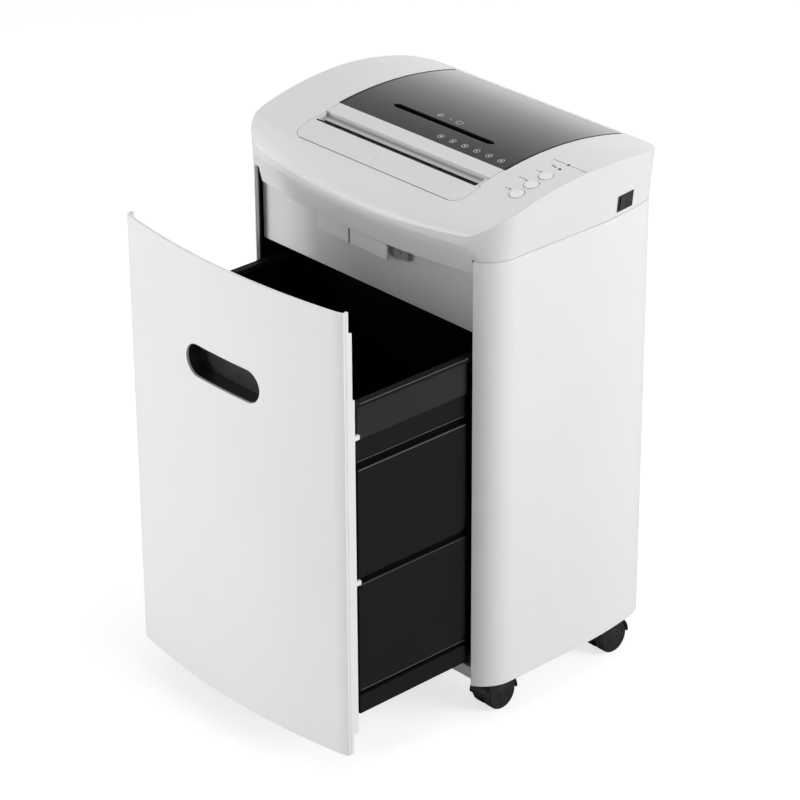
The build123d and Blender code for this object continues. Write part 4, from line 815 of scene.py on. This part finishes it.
# Floor: a pale matt sheet under the object.
# A little light of its own shows it nearly white to the camera, and the shadow stays.
FLOOR_HALF = 6.0
FLOOR_LIFT = 0.71
floor_mesh = bpy.data.meshes.new("floor")
floor_corners = [(x * FLOOR_HALF, y * FLOOR_HALF, 0.0) for x, y in ((-1, -1), (1, -1), (1, 1), (-1, 1))]
floor_mesh.from_pydata(floor_corners, [], [(0, 1, 2, 3)])
floor = bpy.data.objects.new("floor", floor_mesh)
bpy.context.scene.collection.objects.link(floor)
pale_floor, tree, surface = new_finish("pale_floor")
surface.inputs["Base Color"].default_value = (0.50, 0.50, 0.50, 1.0)
surface.inputs["Roughness"].default_value = 0.9
surface.inputs["Specular IOR Level"].default_value = 0.0
rays = node(tree, "LightPath")
lift = node(tree, "Emission", Color=(1.0, 1.0, 1.0, 1.0))
tree.links.new(between(tree, rays.outputs["Is Camera Ray"], 0.0, FLOOR_LIFT), lift.inputs["Strength"])
both = node(tree, "AddShader")
tree.links.new(surface.outputs["BSDF"], both.inputs[0])
tree.links.new(lift.outputs["Emission"], both.inputs[1])
tree.links.new(both.outputs["Shader"], tree.nodes["Material Output"].inputs["Surface"])
floor_mesh.materials.append(pale_floor)

# Studio light: an even grey surround, brighter near the horizon in reflections and white to the camera,
# and four square lamps: in front, low in front, on the right and above.
world = bpy.data.worlds.new("studio")
bpy.context.scene.world = world
world.use_nodes = True
tree = world.node_tree
rise = node(tree, "SeparateXYZ", Vector=node(tree, "TexCoord").outputs["Generated"]).outputs["Z"]
light = tones(tree, rise, (0.40, 0.40, 0.40), (0.30, 0.30, 0.30), 0.15, 0.75)
mirrored = tones(tree, rise, (1.3, 1.3, 1.3), (0.20, 0.20, 0.20), 0.08, 0.62)
rays = node(tree, "LightPath")
surround = node(tree, "MixRGB", Fac=rays.outputs["Is Glossy Ray"], Color1=light, Color2=mirrored)
seen = node(tree, "Math", Value=rays.outputs["Is Camera Ray"])
seen.operation = "MAXIMUM"
tree.links.new(rays.outputs["Is Transmission Ray"], seen.inputs[1])
backdrop = node(tree, "MixRGB", Fac=seen.outputs[0], Color2=(1.0, 1.0, 1.0, 1.0))
tree.links.new(surround.outputs["Color"], backdrop.inputs["Color1"])
tree.links.new(backdrop.outputs["Color"], tree.nodes["Background"].inputs["Color"])
tree.nodes["Background"].inputs["Strength"].default_value = 1.0


def soft_lamp(name, place, aim_z, size, watts):
    """A square area lamp at a place, turned to face the object's axis at a height."""
    lamp = bpy.data.lights.new(name, "AREA")
    lamp.shape = "SQUARE"
    lamp.size = size
    lamp.energy = watts
    holder = bpy.data.objects.new(name, lamp)
    holder.location = place
    holder.rotation_euler = (Vector((0.0, 0.0, aim_z)) - Vector(place)).to_track_quat("-Z", "Y").to_euler()
    bpy.context.scene.collection.objects.link(holder)


soft_lamp("front_lamp", place=(-1.7, -2.8, 1.0), aim_z=0.3, size=1.2, watts=30.0)
soft_lamp("low_lamp", place=(-0.9, -2.4, 0.2), aim_z=0.3, size=0.6, watts=21.5)
soft_lamp("right_lamp", place=(2.8, 1.4, 1.5), aim_z=0.3, size=1.8, watts=74.0)
soft_lamp("top_lamp", place=(0.2, 0.4, 3.2), aim_z=0.4, size=1.6, watts=25.0)

# Camera: at the photograph's viewing angle, from the right, the front and above.
# It has a long lens, stands a few metres off and is rolled by a third of a degree.
AZIMUTH = math.radians(47.53)
ELEVATION = math.radians(26.97)
ROLL = math.radians(-0.32)
LENS = 149.9
AIM = Vector((0.0, 0.01941, 0.30811))
DISTANCE = 3.57164
level_right = Vector((math.cos(AZIMUTH), math.sin(AZIMUTH), 0.0))
level_back = Vector((math.sin(AZIMUTH), -math.cos(AZIMUTH), 0.0))
back = level_back * math.cos(ELEVATION) + Vector((0.0, 0.0, math.sin(ELEVATION)))
level_up = back.cross(level_right)
right = level_right * math.cos(ROLL) + level_up * math.sin(ROLL)
up = level_up * math.cos(ROLL) - level_right * math.sin(ROLL)
camera = bpy.data.objects.new("camera", bpy.data.cameras.new("camera"))
camera.data.lens = LENS
camera.data.sensor_width = 36.0
camera.data.clip_end = 50.0
turned = Matrix((right, up, back)).transposed().to_4x4()
camera.matrix_world = Matrix.Translation(AIM + back * DISTANCE) @ turned
bpy.context.scene.collection.objects.link(camera)
bpy.context.scene.camera = camera
bpy.context.scene.view_settings.view_transform = "Standard"
